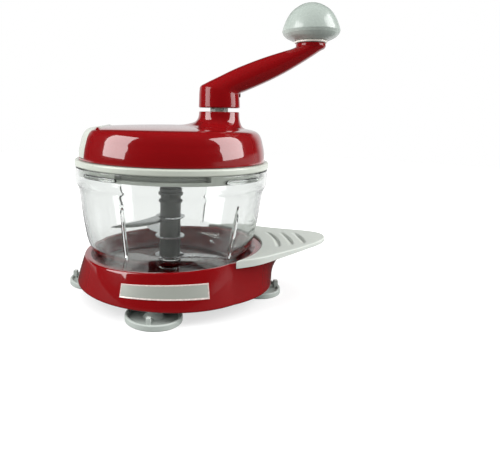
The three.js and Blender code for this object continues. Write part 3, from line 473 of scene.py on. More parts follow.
def vary_roughness(material, low, high, scale, stretch=(1, 1, 1)):
    noise_low = 0.3
    noise_high = 0.7
    tree = material.node_tree
    wear = ramp(tree, noise(tree, scale, 3.0, stretch), noise_low, noise_high, low, high, "LINEAR")
    feed(material, "Roughness", wear)


def add_bump(material, scale, height, strength, stretch=(1, 1, 1)):
    tree = material.node_tree
    sockets = {"Strength": strength, "Distance": height * MM, "Height": noise(tree, scale, 3.0, stretch)}
    feed(material, "Normal", node(tree, "ShaderNodeBump", sockets)["Normal"])


def surface(name, tones, wear, bump, **sockets):
    """A material with noise in its colour, roughness and bump, given as what their functions take."""
    material = principled(name, **sockets)
    vary_color(material, *tones)
    vary_roughness(material, *wear)
    add_bump(material, *bump)
    return material


def red_plastic(name, gloss):
    return surface(
        name, ((0.19, 0.003, 0.0042), (0.215, 0.0035, 0.0049), 45), (0.12, 0.22, 260), (900, 0.02, 0.1),
        Specular_IOR_Level=0.1, Coat_Weight=gloss, Coat_Roughness=0.02, Coat_IOR=1.65)


def clear_plastic():
    """Clear, with painted grey shade where the wall turns away, which stands in for the dark edges that
    refraction gives.
    """
    face_on = (0.84, 0.855, 0.845)
    edge_on_painted_shade = (0.5, 0.53, 0.52)
    material = principled("clear_plastic", IOR=1.5, Transmission_Weight=1.0)
    vary_roughness(material, 0.0, 0.05, 120)
    add_bump(material, 110, 0.2, 0.05, (1, 1, 0.4))
    tree = material.node_tree
    # Painted shade: the tint goes grey as the wall turns edge-on to the view
    facing = node(tree, "ShaderNodeLayerWeight", {"Blend": 0.35})["Facing"]
    blend_color(material, math_node(tree, "POWER", facing, 3), face_on, edge_on_painted_shade)
    return material


red = red_plastic("red_plastic", 1.0)
crank_red = red_plastic("red_plastic_crank", 0.45)
clear = clear_plastic()
grey = surface(
    "grey_plastic", ((0.45, 0.48, 0.42), (0.49, 0.52, 0.46), 60), (0.26, 0.38, 500), (3200, 0.02, 0.2),
    Coat_Weight=0.4, Coat_Roughness=0.1)
knob_grey = surface(
    "knob_plastic", ((0.35, 0.4, 0.365), (0.37, 0.42, 0.385), 70), (0.22, 0.32, 400), (2600, 0.01, 0.02),
    Coat_Weight=0.4, Coat_Roughness=0.1)
pad_grey = surface(
    "pad_rubber", ((0.49, 0.52, 0.48), (0.55, 0.58, 0.54), 80), (0.45, 0.6, 700), (4200, 0.04, 0.35))
foot_grey = surface(
    "foot_rubber", ((0.37, 0.41, 0.38), (0.43, 0.47, 0.44), 90), (0.38, 0.55, 600), (3000, 0.04, 0.3))
dark = surface(
    "dark_plastic", ((0.05, 0.055, 0.049), (0.072, 0.078, 0.07), 90), (0.3, 0.42, 500), (2600, 0.03, 0.3))
white = surface(
    "white_plastic", ((0.74, 0.71, 0.64), (0.82, 0.79, 0.72), 90), (0.3, 0.42, 500), (2600, 0.02, 0.2))
plate_grey = surface(
    "plate_metal", ((0.38, 0.4, 0.36), (0.43, 0.45, 0.405), 400, 2.0, (1, 1, 12)),
    (0.34, 0.46, 900, (1, 1, 10)), (1600, 0.01, 0.2, (1, 1, 10)), Metallic=0.3)
plate_pale = surface(
    "plate_edge", ((0.68, 0.58, 0.54), (0.76, 0.66, 0.62), 200), (0.2, 0.32, 500), (1600, 0.01, 0.2),
    Metallic=0.2)
blade_metal = surface(
    "blade_steel", ((0.56, 0.57, 0.58), (0.64, 0.65, 0.66), 150), (0.16, 0.32, 300, (1, 14, 1)),
    (700, 0.03, 0.15, (1, 14, 1)), Metallic=1.0)
zinc = surface(
    "steel", ((0.54, 0.55, 0.56), (0.62, 0.63, 0.64), 400), (0.22, 0.38, 600), (1500, 0.02, 0.2),
    Metallic=1.0)
black = surface(
    "black_steel", ((0.015, 0.015, 0.017), (0.03, 0.03, 0.032), 400), (0.28, 0.42, 600),
    (1500, 0.02, 0.2), Metallic=0.6)
cad_materials = {
    material.name.removeprefix("look_"): material for material in
    (red, clear, grey, knob_grey, pad_grey, foot_grey, dark, white, plate_grey, blade_metal, zinc, black)
}
for entry in frame["record"]["subparts"]:
    data = frame["nodes"][entry["node"]].data
    data.materials.clear()
    data.materials.append(cad_materials[entry["material_slot"]])


# Outlines that several pieces follow
def shared(shares, radius, bottom_z, height):
    return [(share * radius, bottom_z + up * height) for share, up in shares]


def radius_at(outline, z):
    radii, heights = zip(*outline)
    return float(np.interp(z, heights, radii))


def offset(outline, distance):
    """The outline moved to its right by a distance."""
    result = []
    for i, (r, z) in enumerate(outline):
        before = outline[max(i - 1, 0)]
        after = outline[min(i + 1, len(outline) - 1)]
        dr, dz = after[0] - before[0], after[1] - before[1]
        length = math.hypot(dr, dz)
        result.append((r + distance * dz / length, z - distance * dr / length))
    return result


bowl_outline = shared(bowl_shares, rim_radius, bowl_bottom_z, bowl_rim_z - bowl_bottom_z)
shell_outline = shared(shell_shares, shell_wall_radius, shell_bottom_z, lid_top_z - shell_bottom_z)
bowl_curve = smooth(bowl_outline, 72)
shell_curve = smooth(shell_outline, 120)

well_rim_radius = radius_at(bowl_outline, base_rim_z) + well_clearance
base_rim_radius = well_rim_radius + deck_width
base_foot_radius = base_rim_radius + base_flare
pad_inner_reach = well_rim_radius + pad_margin
pad_reach = pad_inner_reach + pad_length
pad_corner_x, pad_half_width = polar(base_rim_radius + pad_overhang, pad_half_angle)
pad_top_z = base_rim_z + pad_height

well_overrun = 6.0
well_curve = smooth([
    *((mix(well_floor_radius, well_rim_radius, out), mix(well_floor_z, base_rim_z, up))
      for out, up in well_shares),
    (well_rim_radius + well_overrun, base_rim_z + well_overrun),
], 40)


# Base
def rise_at(z):
    return (z - base_bottom_z) / (base_rim_z - base_bottom_z)


def sloped_z(x, z):
    """Height of a place on the base, whose deck rises towards the grip."""
    return z + deck_slope * x * max(rise_at(z), 0)


def wall_radius(angle, z):
    """Reach of the base's outer wall: round, with the wing of the grip drawn out of it."""
    rise = rise_at(z)
    belly = base_belly * math.sin(math.pi * rise)
    round_part = mix(base_foot_radius, base_rim_radius, rise) + belly
    turn = (angle - grip_angle + 180) % 360 - 180
    if abs(turn) >= wing_half_angle:
        return round_part
    flare = max(rise, 0) ** wing_flare_power
    reach = mix(base_foot_radius + wing_low_reach, base_rim_radius + wing_high_reach, flare)
    share = math.cos(math.radians(90 * turn / wing_half_angle)) ** wing_sharpness_power
    return round_part + (reach - round_part) * share


def well_edge(angle):
    """Where the sloping deck meets the well: its radius and height."""
    radius = well_rim_radius
    for _ in range(6):
        z = sloped_z(radius * math.cos(math.radians(angle)), base_rim_z)
        radius = radius_at(well_curve, z)
    return radius, z


def base_section(angle):
    """Section of the base at an angle: well, deck, outer wall and the recess of the closing plate."""
    edge_round = 1.2
    deck_round = 1.4
    well_steps = 9
    wall_shares = (0.92, 0.84, 0.76, 0.68, 0.6, 0.5, 0.4, 0.3, 0.2, 0.1)
    cos = math.cos(math.radians(angle))
    edge_radius, edge_z = well_edge(angle)
    outline = [(well_floor_radius * 0.5, well_floor_z)]
    for i in range(well_steps):
        z = mix(well_floor_z, edge_z, i / well_steps)
        outline.append((radius_at(well_curve, z + TINY), z))
    outline.append((edge_radius, edge_z, edge_round))
    rim = wall_radius(angle, base_rim_z)
    deck_middle = mix(edge_radius, rim, 0.5)
    outline.append((deck_middle, sloped_z(deck_middle * cos, base_rim_z)))
    outline.append((rim, sloped_z(rim * cos, base_rim_z), deck_round))
    for share in wall_shares:
        z = mix(base_bottom_z, base_rim_z, share)
        radius = wall_radius(angle, z)
        outline.append((radius, sloped_z(radius * cos, z)))
    foot = wall_radius(angle, base_bottom_z)
    outline.append((foot, base_bottom_z, edge_round))
    outline.append((foot - base_wall, base_bottom_z, 0.5))
    outline.append((foot - base_wall - 1, base_bottom_z + base_recess))
    return rounded(outline, 4)


def make_base():
    steps = 288
    sections = [base_section(360 * i / steps) for i in range(steps)]
    rings = [[(*polar(section[k][0], 360 * i / steps), section[k][1])
              for i, section in enumerate(sections)] for k in range(len(sections[0]))]
    mesh = bridge(rings, start=(0, 0, well_floor_z), end=(0, 0, base_bottom_z + base_recess))
    make("base_body", mesh, "base", red, ["base_shell"], 50)


def pad_lines():
    """The pad's outer edge, and its inner arc's middle and radius, in the grip's own axes."""
    shares = [
        (0.531, 0.9), (0.633, 0.77), (0.741, 0.565), (0.849, 0.39), (0.95, 0.23), (1.005, 0.11),
        (1.03, -0.03), (1.022, -0.155), (0.985, -0.295), (0.925, -0.42), (0.849, -0.53),
        (0.768, -0.64), (0.627, -0.795), (0.49, -0.93),
    ]
    side = [(share * pad_reach, width * pad_half_width) for share, width in shares]
    outer = smooth([(pad_corner_x, pad_half_width), *side, (pad_corner_x, -pad_half_width)], 240)
    reach = pad_inner_reach - pad_corner_x
    centre_x = (pad_inner_reach ** 2 - pad_corner_x ** 2 - pad_half_width ** 2) / (2 * reach)
    arc_radius = pad_inner_reach - centre_x
    return outer, centre_x, arc_radius


def pad_places(outer, centre_x, arc_radius, columns, rows):
    """Grid of places between the inner arc and the outer edge, closer together at the edges."""
    least_width = 0.05
    outer_x, outer_y = np.array(outer[::-1]).T
    places = []
    for j in range(columns + 1):
        y = pad_half_width * pad_horn_share * (2 * eased(j, columns) - 1)
        low_x = centre_x + math.sqrt(arc_radius ** 2 - y ** 2)
        high_x = max(float(np.interp(y, outer_y, outer_x)), low_x + least_width)
        places += [(mix(low_x, high_x, eased(i, rows)), y) for i in range(rows + 1)]
    return np.array(places)


def pad_thickness(x):
    """The pad's edge thins from its horns to its tip."""
    horn_thickness = 5.5
    tip_thickness = 2.6
    thinning_start = 50
    thinning_length = 70
    return mix(horn_thickness, tip_thickness, soft_step((x - thinning_start) / thinning_length))


def distance_to(line, places):
    """Distance of each place from a line of points."""
    nearest = np.full(len(places), np.inf)
    for a, b in zip(line, line[1:]):
        span = b - a
        if not span.any():
            continue
        t = np.clip(((places - a) @ span) / (span @ span), 0, 1)
        nearest = np.minimum(nearest, np.linalg.norm(places - a - t[:, None] * span, axis=1))
    return nearest


def groove_depths(places):
    """Depth of the finger grooves: crescents that deepen slowly and end in a steep step."""
    deepest_share = 0.8
    reach = np.hypot(places[:, 0], places[:, 1])
    turn = np.arctan2(places[:, 1], places[:, 0]) + math.radians(grip_angle)
    depths = np.zeros(len(places))
    for k, half_angle in enumerate(groove_half_angles):
        start = pad_inner_reach + groove_margin + groove_pitch * k
        across = np.clip((reach - start) / groove_width, 0, 1)
        slow = (across / deepest_share) ** 1.4
        steep = (1 - across) / (1 - deepest_share)
        ends = np.clip(1 - (turn / math.radians(half_angle)) ** 2, 0, 1) ** 0.6
        depths += groove_depth * np.where(across < deepest_share, slow, steep) * ends
    return depths


def make_pad():
    columns = 220
    rows = 120
    inner_round = 1.2
    outer_round = 1.0
    outer, centre_x, arc_radius = pad_lines()
    corner_angle = math.degrees(math.atan2(pad_half_width, pad_corner_x - centre_x)) * pad_horn_share
    inner = [(centre_x + x, y) for x, y in arc(arc_radius, corner_angle, -corner_angle, 160)]
    places = pad_places(outer, centre_x, arc_radius, columns, rows)
    heights = np.full(len(places), pad_top_z)
    for line, width in ((np.array(inner), inner_round), (np.array(outer), outer_round)):
        gap = np.clip(1 - distance_to(line, places) / width, 0, 1)
        heights = np.minimum(heights, pad_top_z - width * (1 - np.sqrt(1 - gap ** 2)))
    heights -= groove_depths(places)
    cos, sin = polar(1, grip_angle)
    top = []
    back = []
    for (along, across), height in zip(places, heights):
        x = along * cos - across * sin
        y = along * sin + across * cos
        top.append((x, y, sloped_z(x, float(height))))
        back.append((x, y, sloped_z(x, pad_top_z - pad_thickness(along))))
    make("soft_pad", slab(top, back, rows + 1), "base", pad_grey, ["grip_pad"], 60)


def make_plate():
    """A pale frame round a grey panel, bent round the base's front. Both shares run from -1 to 1."""
    high_z = base_rim_z - 8.2
    low_z = high_z - 10.8
    middle_angle = -92.7
    width = 70.5
    sag = 1.0
    border = 1.1
    proud = 0.4
    panel_proud = 0.16
    buried = -0.8
    steps = 60
    end_steps = 8
    half_angle = math.degrees(width / 2 / wall_radius(middle_angle, (low_z + high_z) / 2))
    border_u = border / 35
    border_v = border / 5.4

    def place(u, v, out):
        angle = middle_angle + half_angle * u
        z = mix(low_z, high_z, (v + 1) / 2) - sag * u * u
        x, y = polar(wall_radius(angle, z) + out, angle)
        return x, y, sloped_z(x, z)

    def loop(share, out):
        a, b = 1 - border_u * share, 1 - border_v * share
        half = [(mix(-a, a, i / steps), -b) for i in range(steps)]
        half += [(a, mix(-b, b, i / end_steps)) for i in range(end_steps)]
        return [place(u * side, v * side, out) for side in (1, -1) for u, v in half]

    def row(v, out):
        a, b = 1 - border_u * 0.9, 1 - border_v * 0.9
        return [place(mix(-1, 1, i / steps) * a, v * b, out) for i in range(steps + 1)]

    rim = bridge([
        loop(0, buried), loop(0, 0.15), loop(0.15, proud), loop(0.7, proud), loop(1, 0.2),
        loop(1, buried),
    ], loop=True)
    make("plate_frame", rim, "base", plate_pale, ["name_plate"], 40)
    levels = (-1, -0.5, 0, 0.5, 1)
    rows = [row(v, panel_proud) for v in levels] + [row(v, -0.6) for v in reversed(levels)]
    panel = bridge(rows, closed_ring=False, loop=True)
    make("plate_panel", panel, "base", plate_grey, ["name_plate"], 40)


def make_foot(name):
    """A suction cup with its rib and pull tab, which point away from the bowl's axis."""
    lip_height = 4.6
    lip_width = 2.0
    post_radius = 4.6
    rib_half = 0.7
    tab_half = 1.7
    web_z = 1.6
    place = middle(name)
    radius = corners(name)[1].y - place.y
    top_z = base_bottom_z - seat_gap
    disc = turned([
        (0, 1.2), (radius - 3, 0, 0.3), (radius, 0, 0.8), (radius, lip_height, 0.9),
        (radius - lip_width, lip_height, 0.6), (radius - 3.2, 2.7, 1.0), (8, 2.4, 2.0),
        (post_radius, 6.0, 3.0), (post_radius, top_z, 0.3), (0, top_z),
    ])
    rib = rounded_block(5, radius - 2, -rib_half, rib_half, web_z, 3.6, 0.3)
    tab = rounded_block(radius - 5.6, radius - 1.6, -tab_half, tab_half, web_z, 9.5, 0.8)
    outward = math.degrees(math.atan2(place.y, place.x))
    mesh = turned_about_z(joined(disc, rib, tab), outward, place.x, place.y)
    make(name.replace("foot", "cup"), mesh, "base", foot_grey, [name], 40)


# Bowl and blades
def rib_height(angle, radius, z):
    """How far the nearest rib stands out of the wall's inner face at a place on it."""
    foot_share = 1.4
    flank_slope = 1.8
    low_run_out = 4
    high_run_out = 22
    away = min(abs((angle - a + 180) % 360 - 180) for a in rib_angles)
    across = math.radians(away) * radius / rib_half_width
    if not rib_low_z < z < rib_high_z or across >= foot_share:
        return 0
    ends = min((z - rib_low_z) / low_run_out, (rib_high_z - z) / high_run_out, 1)
    return rib_depth * ends ** 0.5 * min(1, (foot_share - across) * flank_slope)


def make_bowl():
    edge_round = 0.8
    wall_steps = 180
    rib_step_angle = 0.28
    inner = [(r, z) for r, z in offset(bowl_curve, -bowl_wall)
             if bowl_floor_z < z < bowl_rim_z - 0.6 and r < rim_radius]
    ends = (0, len(bowl_curve) - 1)
    profile = [(0, bowl_bottom_z), (bowl_curve[0][0] * 0.5, bowl_bottom_z)]
    profile += [(r, z, edge_round if i in ends else 0) for i, (r, z) in enumerate(bowl_curve)]
    profile += [(inner[-1][0], bowl_rim_z, edge_round), *reversed(inner)]
    profile += [
        (inner[0][0] - 3, bowl_floor_z, 2.0), (9.6, bowl_floor_z, 1.6),
        (5.6, pin_boss_top_z, 0.8), (0, pin_boss_top_z),
    ]
    outline = rounded(profile, 3)
    angles = sorted({*(360 * i / wall_steps for i in range(wall_steps)),
                     *((a + step * rib_step_angle) % 360 for a in rib_angles for step in range(-5, 6))})
    rings = []
    for r, z in outline[1:-1]:
        on_inner_face = 1 < radius_at(bowl_curve, z) - r < 6
        rings.append([(*polar(r - (rib_height(angle, r, z) if on_inner_face else 0), angle), z)
                      for angle in angles])
    mesh = bridge(rings, start=(0, 0, outline[0][1]), end=(0, 0, outline[-1][1]))
    lugs = [lug_mesh(-90 + turn) for turn in (-42.4, 42.4, 137.6, 222.4)]
    piece = make("clear_bowl", joined(mesh, *lugs), "bowl", clear, ["bowl"], 40)
    piece.modifiers.clear()


def lug_mesh(middle_angle):
    """A rounded bar along the bowl's rim, which the lid locks on."""
    half_angle = 14
    steps = 40
    sides = 12
    half_depth = 1.1
    half_height = 1.8
    lug_z = bowl_rim_z - 5
    rings = []
    for k in range(steps + 1):
        t = mix(-1, 1, k / steps)
        size = (1 - t ** 8) ** 0.5 * 0.98 + 0.02
        ring = []
        for i in range(sides):
            c, s = polar(size, 360 * i / sides)
            x, y = polar(rim_radius - 0.2 + half_depth * c, middle_angle + half_angle * t)
            ring.append((x, y, lug_z + half_height * s))
        rings.append(ring)
    return bridge(rings, start="flat", end="flat")


def make_blade(name, angle):
    """A curved blade, bevelled along its leading edge, on a ring round the post."""
    tip_clearance = 5
    ring_radius_in = 9.8
    ring_radius_out = ring_radius_in + 3.6
    edge_thickness = 0.15
    bevel_width = 3.2
    sweep_back = 14
    low, high = corners(name)
    reach = radius_at(bowl_outline, low.z) - bowl_wall - rib_depth - tip_clearance
    leading = [(0.16, 7.5), (0.45, 12.75), (0.75, 11.25), (1, 0)]
    trailing = [(0.16, -7.5), (0.5, -1.8), (0.82, -0.75), (1, -0.3)]
    rings = []
    for edge, back in zip(*(smooth([(share * reach, y) for share, y in line], 40)
                            for line in (leading, trailing))):
        edge = Vector(edge)
        back = Vector(back)
        span = back - edge
        inner = edge + span.normalized() * min(bevel_width, span.length * 0.45)
        rings.append([
            (*edge, low.z), (*edge, low.z + edge_thickness), (*inner, high.z), (*back, high.z),
            (*back, low.z),
        ])
    arm = turned_about_z(bridge(rings, start="flat", end="flat"), angle - sweep_back)
    ring = turned([
        (ring_radius_in, low.z), (ring_radius_out, low.z, 0.2), (ring_radius_out, high.z, 0.2),
        (ring_radius_in, high.z),
    ], steps=3)
    make(name.replace("blade", "knife"), joined(arm, ring), "blades", blade_metal, [name], 25)


def make_post():
    """A turned post with a collar, and a hexagon on top that the lid's coupling turns."""
    low, high = corners("blade_post")
    bore_radius = 6
    post_radius = 9.5
    collar_out = 11.4
    neck_radius = 10.6
    collar_height = 3.8
    hexagon_height = 9.5
    hexagon_width = 22
    collar_low = high.z - hexagon_height - collar_height
    collar_top = collar_low + collar_height
    bore_top = pin_boss_top_z + seat_gap
    turning = turned([
        (bore_radius, low.z), (post_radius, low.z, 0.5), (post_radius, collar_low - 2.2, 0.8),
        (neck_radius, collar_low - 1.6, 0.4), (neck_radius, collar_low, 0.3),
        (collar_out, collar_low, 0.5), (collar_out, collar_top, 0.6), (3, collar_top), (3, bore_top),
        (bore_radius, bore_top),
    ])
    hexagon = [polar(hexagon_width / 2 / math.sqrt(3), 60 * i) for i in range(6)]
    top = prism(hexagon, collar_top - seat_gap, high.z)
    make("knife_post", joined(turning, top), "blades", dark, ["blade_post"])


# Lid
def port_plan(inset):
    """Outline of the fill port's tube: round towards the lid's wall, straight towards the tower."""
    outer = shell_wall_radius - 7.4 - inset
    half_width = neck_half_width - 7.3 - inset
    inner_x = hinge_x + 6 - inset
    half_turn = math.degrees(math.asin(half_width / outer))
    wall = arc(outer, 180 - half_turn, 180 + half_turn, 24)
    return [(inner_x, half_width), *wall, (inner_x, -half_width)]


def make_lid_ring():
    """The grey half of the lid: ring, skirt with four pockets, floor, bosses and the fill port."""
    shaft_bore = 6.4
    shaft_boss_radius = 9.3
    spindle_boss_radius = 8.5
    boss_top_z = lid_floor_top_z + 2.4
    sunk_z = lid_floor_z + 0.5
    port_wall = 2.0
    port_round = 0.4
    skirt_radius = radius_at(bowl_outline, skirt_bottom_z) - bowl_wall - 0.5
    skirt_inner = skirt_radius - 9
    outline = rounded([
        (shaft_bore, lid_floor_z), (skirt_inner, lid_floor_z, 0.8), (skirt_inner, skirt_bottom_z, 0.4),
        (skirt_radius, skirt_bottom_z, 0.5), (skirt_radius, ring_bottom_z, 0.3),
        (ring_radius, ring_bottom_z, 1.3), (ring_radius, ring_top_z, 1.6),
        (ring_radius - 7, ring_top_z, 0.3), (ring_radius - 7, lid_floor_top_z, 0.5),
        (shaft_bore, lid_floor_top_z),
    ], 5)
    port_low_z = lid_floor_z + seat_gap
    port = [[(x, y, z) for x, y in port_plan(inset)] for inset, z in (
        (0, port_low_z), (0, port_top_z - port_round), (port_round, port_top_z),
        (port_wall - port_round, port_top_z), (port_wall, port_top_z - port_round),
        (port_wall, port_low_z))]
    shaft_boss = lathe([
        (shaft_bore, sunk_z), (shaft_boss_radius, sunk_z), (shaft_boss_radius, boss_top_z),
        (shaft_bore, boss_top_z),
    ])
    spindle_boss = turned([
        (0, sunk_z), (spindle_boss_radius, sunk_z), (spindle_boss_radius, boss_top_z, 0.4),
        (0, boss_top_z),
    ], tower_x, 5)
    mesh = joined(lathe(outline, 240), bridge(port, loop=True), shaft_boss, spindle_boss)
    piece = make("lid_ring", mesh, "lid", grey, ["lid_base"])
    cut_pockets(piece, skirt_inner, skirt_radius)
    cut(piece, prism(port_plan(port_wall), lid_floor_z - 1, lid_floor_top_z + 1))


def cut_pockets(piece, skirt_inner, skirt_radius):
    half_angle = 26
    steps = 20
    pocket_low_z = skirt_bottom_z + 2.8
    for middle_angle in (-95, -5, 85, 175):
        start = middle_angle - half_angle
        end = middle_angle + half_angle
        plan = arc(skirt_radius + 0.6, start, end, steps) + arc(skirt_inner + 1, end, start, steps)
        cut(piece, prism(plan, pocket_low_z, ring_bottom_z - 0.2))


def door_plan(inner_x):
    """Outline of the door's opening: a neck at the hinge, then a wedge out past the lid's wall."""
    far_x = -shell_lip_radius - 2
    far_y = -far_x * math.tan(math.radians(door_half_angle))
    side = [(inner_x, neck_half_width), (neck_x, neck_half_width), (far_x, far_y)]
    return [*side, *((x, -y) for x, y in reversed(side))]


def make_shell():
    inner = [p for p in offset(shell_curve, -shell_wall) if p[0] > 0][:-1]
    lip_top_z = shell_bottom_z + shell_lip_height
    profile = [
        (0, lid_top_z - shell_wall), *reversed(inner[1:]), (inner[0][0], shell_bottom_z, 0.3),
        (shell_lip_radius, shell_bottom_z, 0.5), (shell_lip_radius, lip_top_z, 0.4),
        (shell_curve[0][0] + 0.05, lip_top_z, 0.3), *shell_curve[:-1], (0, lid_top_z),
    ]
    piece = make("lid_cover", lathe(rounded(profile, 4), 256), "lid", red, ["lid_shell"], 30)
    cut(piece, prism(door_plan(hinge_x + 2.2), lip_top_z, tower_top_z), 30)
    for side, name in ((-1, "hinge_knuckle_front"), (1, "hinge_knuckle_back")):
        make_knuckle(name, side)


def make_knuckle(name, side):
    """The lid's boss over an end of the door's pin."""
    start = neck_half_width + 0.1
    end = corners("door_pin")[1].y + 0.5
    drop = 0.3
    points, faces = lathe(rounded([(0, start), (1.7, start, 0.4), (1.5, end, 0.8), (0, end)], 4), 40)
    knuckle = [(hinge_x + x, side * z, hinge_z + y - drop) for x, y, z in points]
    make(name, (knuckle, faces), "lid", red, ["lid_shell"])


def shell_height(x, y):
    """Height of the lid's outer surface over a place on its top."""
    radii, heights = zip(*reversed(shell_curve))
    return float(np.interp(math.hypot(x, y), radii, heights))


def tower_ring(out, rise):
    """A ring of the tower's fillet: wide towards the lid's middle, tight at the lid's edge."""
    edge_share = 0.35
    weight = soft_step((8 - out) / 7)
    ring = []
    for k in range(ROUND):
        cos, sin = polar(1, 360 * k / ROUND)
        reach = tower_radius + out * mix(edge_share, 1, (1 - cos) / 2)
        x, y = tower_x + reach * cos, reach * sin
        ring.append((x, y, mix(shell_height(x, y), lid_top_z - 0.8, weight) + rise))
    return ring


def make_tower():
    """The crank tower, which flows into the lid's top, with the spindle's bush in its mouth."""
    mouth_radius = bush_radius + 0.5
    rings = [tower_ring(out, rise) for out, rise in smooth(tower_fillet, 44)]
    edge = [(x, y, z - 1.6) for x, y, z in rings[0]]
    top = rounded([
        (tower_radius, lid_top_z + 11.2), (tower_radius - 0.05, tower_top_z, 0.9),
        (mouth_radius, tower_top_z, 0.4), (mouth_radius, tower_top_z - 10),
    ], 5)
    rings += [circle(r, z, x=tower_x) for r, z in top[1:]]
    low = circle(tower_radius + 6, lid_top_z - 5, x=tower_x)
    mesh = bridge([low, edge, *rings], start="flat", end="flat")
    make("lid_tower", mesh, "lid", red, ["lid_shell"], 30)
    bore = spindle_radius + 0.4
    bush_low_z = tower_top_z - 14.5
    bush_top_z = tower_top_z - seat_gap
    bush = rounded([
        (bore, bush_low_z), (bush_radius, bush_low_z), (bush_radius, bush_top_z, 0.4),
        (bore, bush_top_z, 0.4), (bore, bush_low_z),
    ], 4)[:-1]
    make("spindle_bush", lathe(bush, SMALL_ROUND, tower_x), "lid", white, ["tower_bush"])


def door_grids(columns, rows):
    """Points of the door's outer and inner face, in lines from the hinge down the lid's wall."""
    edge_round = 0.7
    thickness = 2.2
    side_gap_angle = 0.4
    outer = offset(shell_curve, 0.1)
    lengths = np.cumsum([0] + [math.dist(a, b) for a, b in zip(outer, outer[1:])])
    radii, heights = np.array(outer).T
    wall_part = 60
    t_low = float(np.interp(corners("fill_door")[0].z, heights[:wall_part], lengths[:wall_part]))

    def at(t):
        return np.array([np.interp(t, lengths, radii), np.interp(t, lengths, heights)])

    top = []
    back = []
    for j in range(columns + 1):
        u = 2 * eased(j, columns) - 1
        angle = u * (door_half_angle - side_gap_angle)
        start_r = -hinge_x / math.cos(math.radians(angle))
        t_high = float(np.interp(-start_r, -radii, lengths))
        for i in range(rows + 1):
            t = mix(t_high, t_low, eased(i, rows))
            r, z = at(t)
            side = r * math.radians((1 - abs(u)) * door_half_angle)
            gap = max(edge_round - min(side, abs(t - t_high), abs(t - t_low)), 0)
            drop = edge_round - math.sqrt(edge_round ** 2 - gap ** 2)
            slope_r, slope_z = at(t + 0.5) - at(t - 0.5)
            length = math.hypot(slope_r, slope_z)
            for grid, depth in ((top, drop), (back, thickness)):
                x, y = polar(r - slope_z / length * depth, 180 + angle)
                grid.append((x, y, z + slope_r / length * depth))
    return top, back


def make_door():
    """The flip-up door, a skin of the lid's own form, with the barrel that turns on its pin."""
    rows = 110
    barrel_radius = 1.8
    half = neck_half_width - 0.5
    top, back = door_grids(120, rows)
    points, faces = lathe(rounded([
        (0, -half), (barrel_radius, -half, 0.5), (barrel_radius, half, 0.5), (0, half),
    ], 4), 48)
    barrel = [(hinge_x + x, z, hinge_z + y) for x, y, z in points], faces
    make("flap", joined(slab(top, back, rows + 1), barrel), "door", grey, ["fill_door"], 40)


# Drive, crank and knob
def make_coupling():
    """A stepped hub under the lid with two grooves, and the shaft that goes up through the lid."""
    low, high = corners("drive_coupling")
    hub_radius = 9.2
    groove_radius = 8.5
    shaft_radius = 6
    groove_low = (7.4, 13.2)
    hub_top_z = lid_floor_z - seat_gap
    outline = [(0, low.z), (10.4, low.z, 0.4), (10.4, low.z + 3.4, 0.5), (hub_radius, low.z + 4.4, 0.5)]
    for up in groove_low:
        z = low.z + up
        outline += [(hub_radius, z, 0.3), (groove_radius, z + 0.5, 0.3), (groove_radius, z + 1.7, 0.3),
                    (hub_radius, z + 2.2, 0.3)]
    outline += [
        (hub_radius, hub_top_z, 0.4), (shaft_radius, hub_top_z, 0.3), (shaft_radius, high.z, 0.5),
        (0, high.z),
    ]
    make("coupling", turned(outline), "drive", dark, ["drive_coupling"])


def make_arm():
    """Hub and arm as one gooseneck: sections between an upper and a lower line, seen from the side."""
    upper = [
        (-18.7, 0), (-18.6, 8), (-18.4, 15.5), (-17.6, 19.7), (-12.5, 22.9), (-1.6, 28.5), (13, 35.9),
        (27.6, 42.2), (42.2, 47.8), (56.8, 52.7), (66, 55.7), (70.6, 58.4), (70.4, 60),
    ]
    lower = [
        (18.7, 0), (18.5, 5), (18.2, 9.2), (18.1, 12), (19, 13.6), (24, 15.8), (35.3, 20.9),
        (49.9, 28), (64.4, 36.1), (79, 45.4), (90, 52.9), (95.3, 56.8), (95.6, 59),
    ]
    half_widths = [18.7, 18.5, 18.2, 17.8, 17.2, 16.4, 15.4, 14.6, 13.9, 13.4, 12.9, 12.6, 12.4]
    fullness_power = 0.94
    stations = [(*a, *b, w) for a, b, w in zip(upper, lower, half_widths)]
    rings = []
    for ux, uz, lx, lz, half_width in smooth(stations, 110):
        top = Vector((tower_x + ux, 0, hub_bottom_z + uz))
        bottom = Vector((tower_x + lx, 0, hub_bottom_z + lz))
        centre = (top + bottom) / 2
        half_height = (top - bottom) / 2
        ring = []
        for k in range(SMALL_ROUND):
            c, s = polar(1, 360 * k / SMALL_ROUND)
            up = math.copysign(abs(c) ** fullness_power, c)
            side = math.copysign(abs(s) ** fullness_power, s)
            ring.append(tuple(centre + half_height * up + Vector((0, half_width * side, 0))))
        rings.append(ring)
    arm = bridge([*hub_edge(rings[0]), *rings[1:]], start="flat", end="flat")
    make("gooseneck", joined(arm, collar_mesh()), "crank", crank_red, ["crank_arm"], 50)


def hub_edge(ring):
    """The hub's lowest ring as three, which round its lower edge."""
    return [[(tower_x + (x - tower_x) * scale, y * scale, z + up) for x, y, z in ring]
            for scale, up in ((0.95, 0), (0.985, 0.27), (1, 0.9))]


def collar_mesh():
    """The disc at the arm's end that carries the knob."""
    low_z = collar_top_z - 5.6
    return turned([
        (0, low_z), (collar_radius - 1.4, low_z, 1.2), (collar_radius, low_z + 2.2, 1.6),
        (collar_radius, collar_top_z, 2.0), (0, collar_top_z),
    ], knob_x, 6)


def make_spindle():
    low, high = corners("crank_spindle")
    journal_radius = 5
    step_z = low.z + 4.4
    mesh = turned([
        (0, low.z), (journal_radius, low.z, 0.4), (journal_radius, step_z), (spindle_radius, step_z, 0.4),
        (spindle_radius, high.z, 0.6), (0, high.z),
    ], tower_x)
    make("spindle", mesh, "crank", grey, ["crank_spindle"])


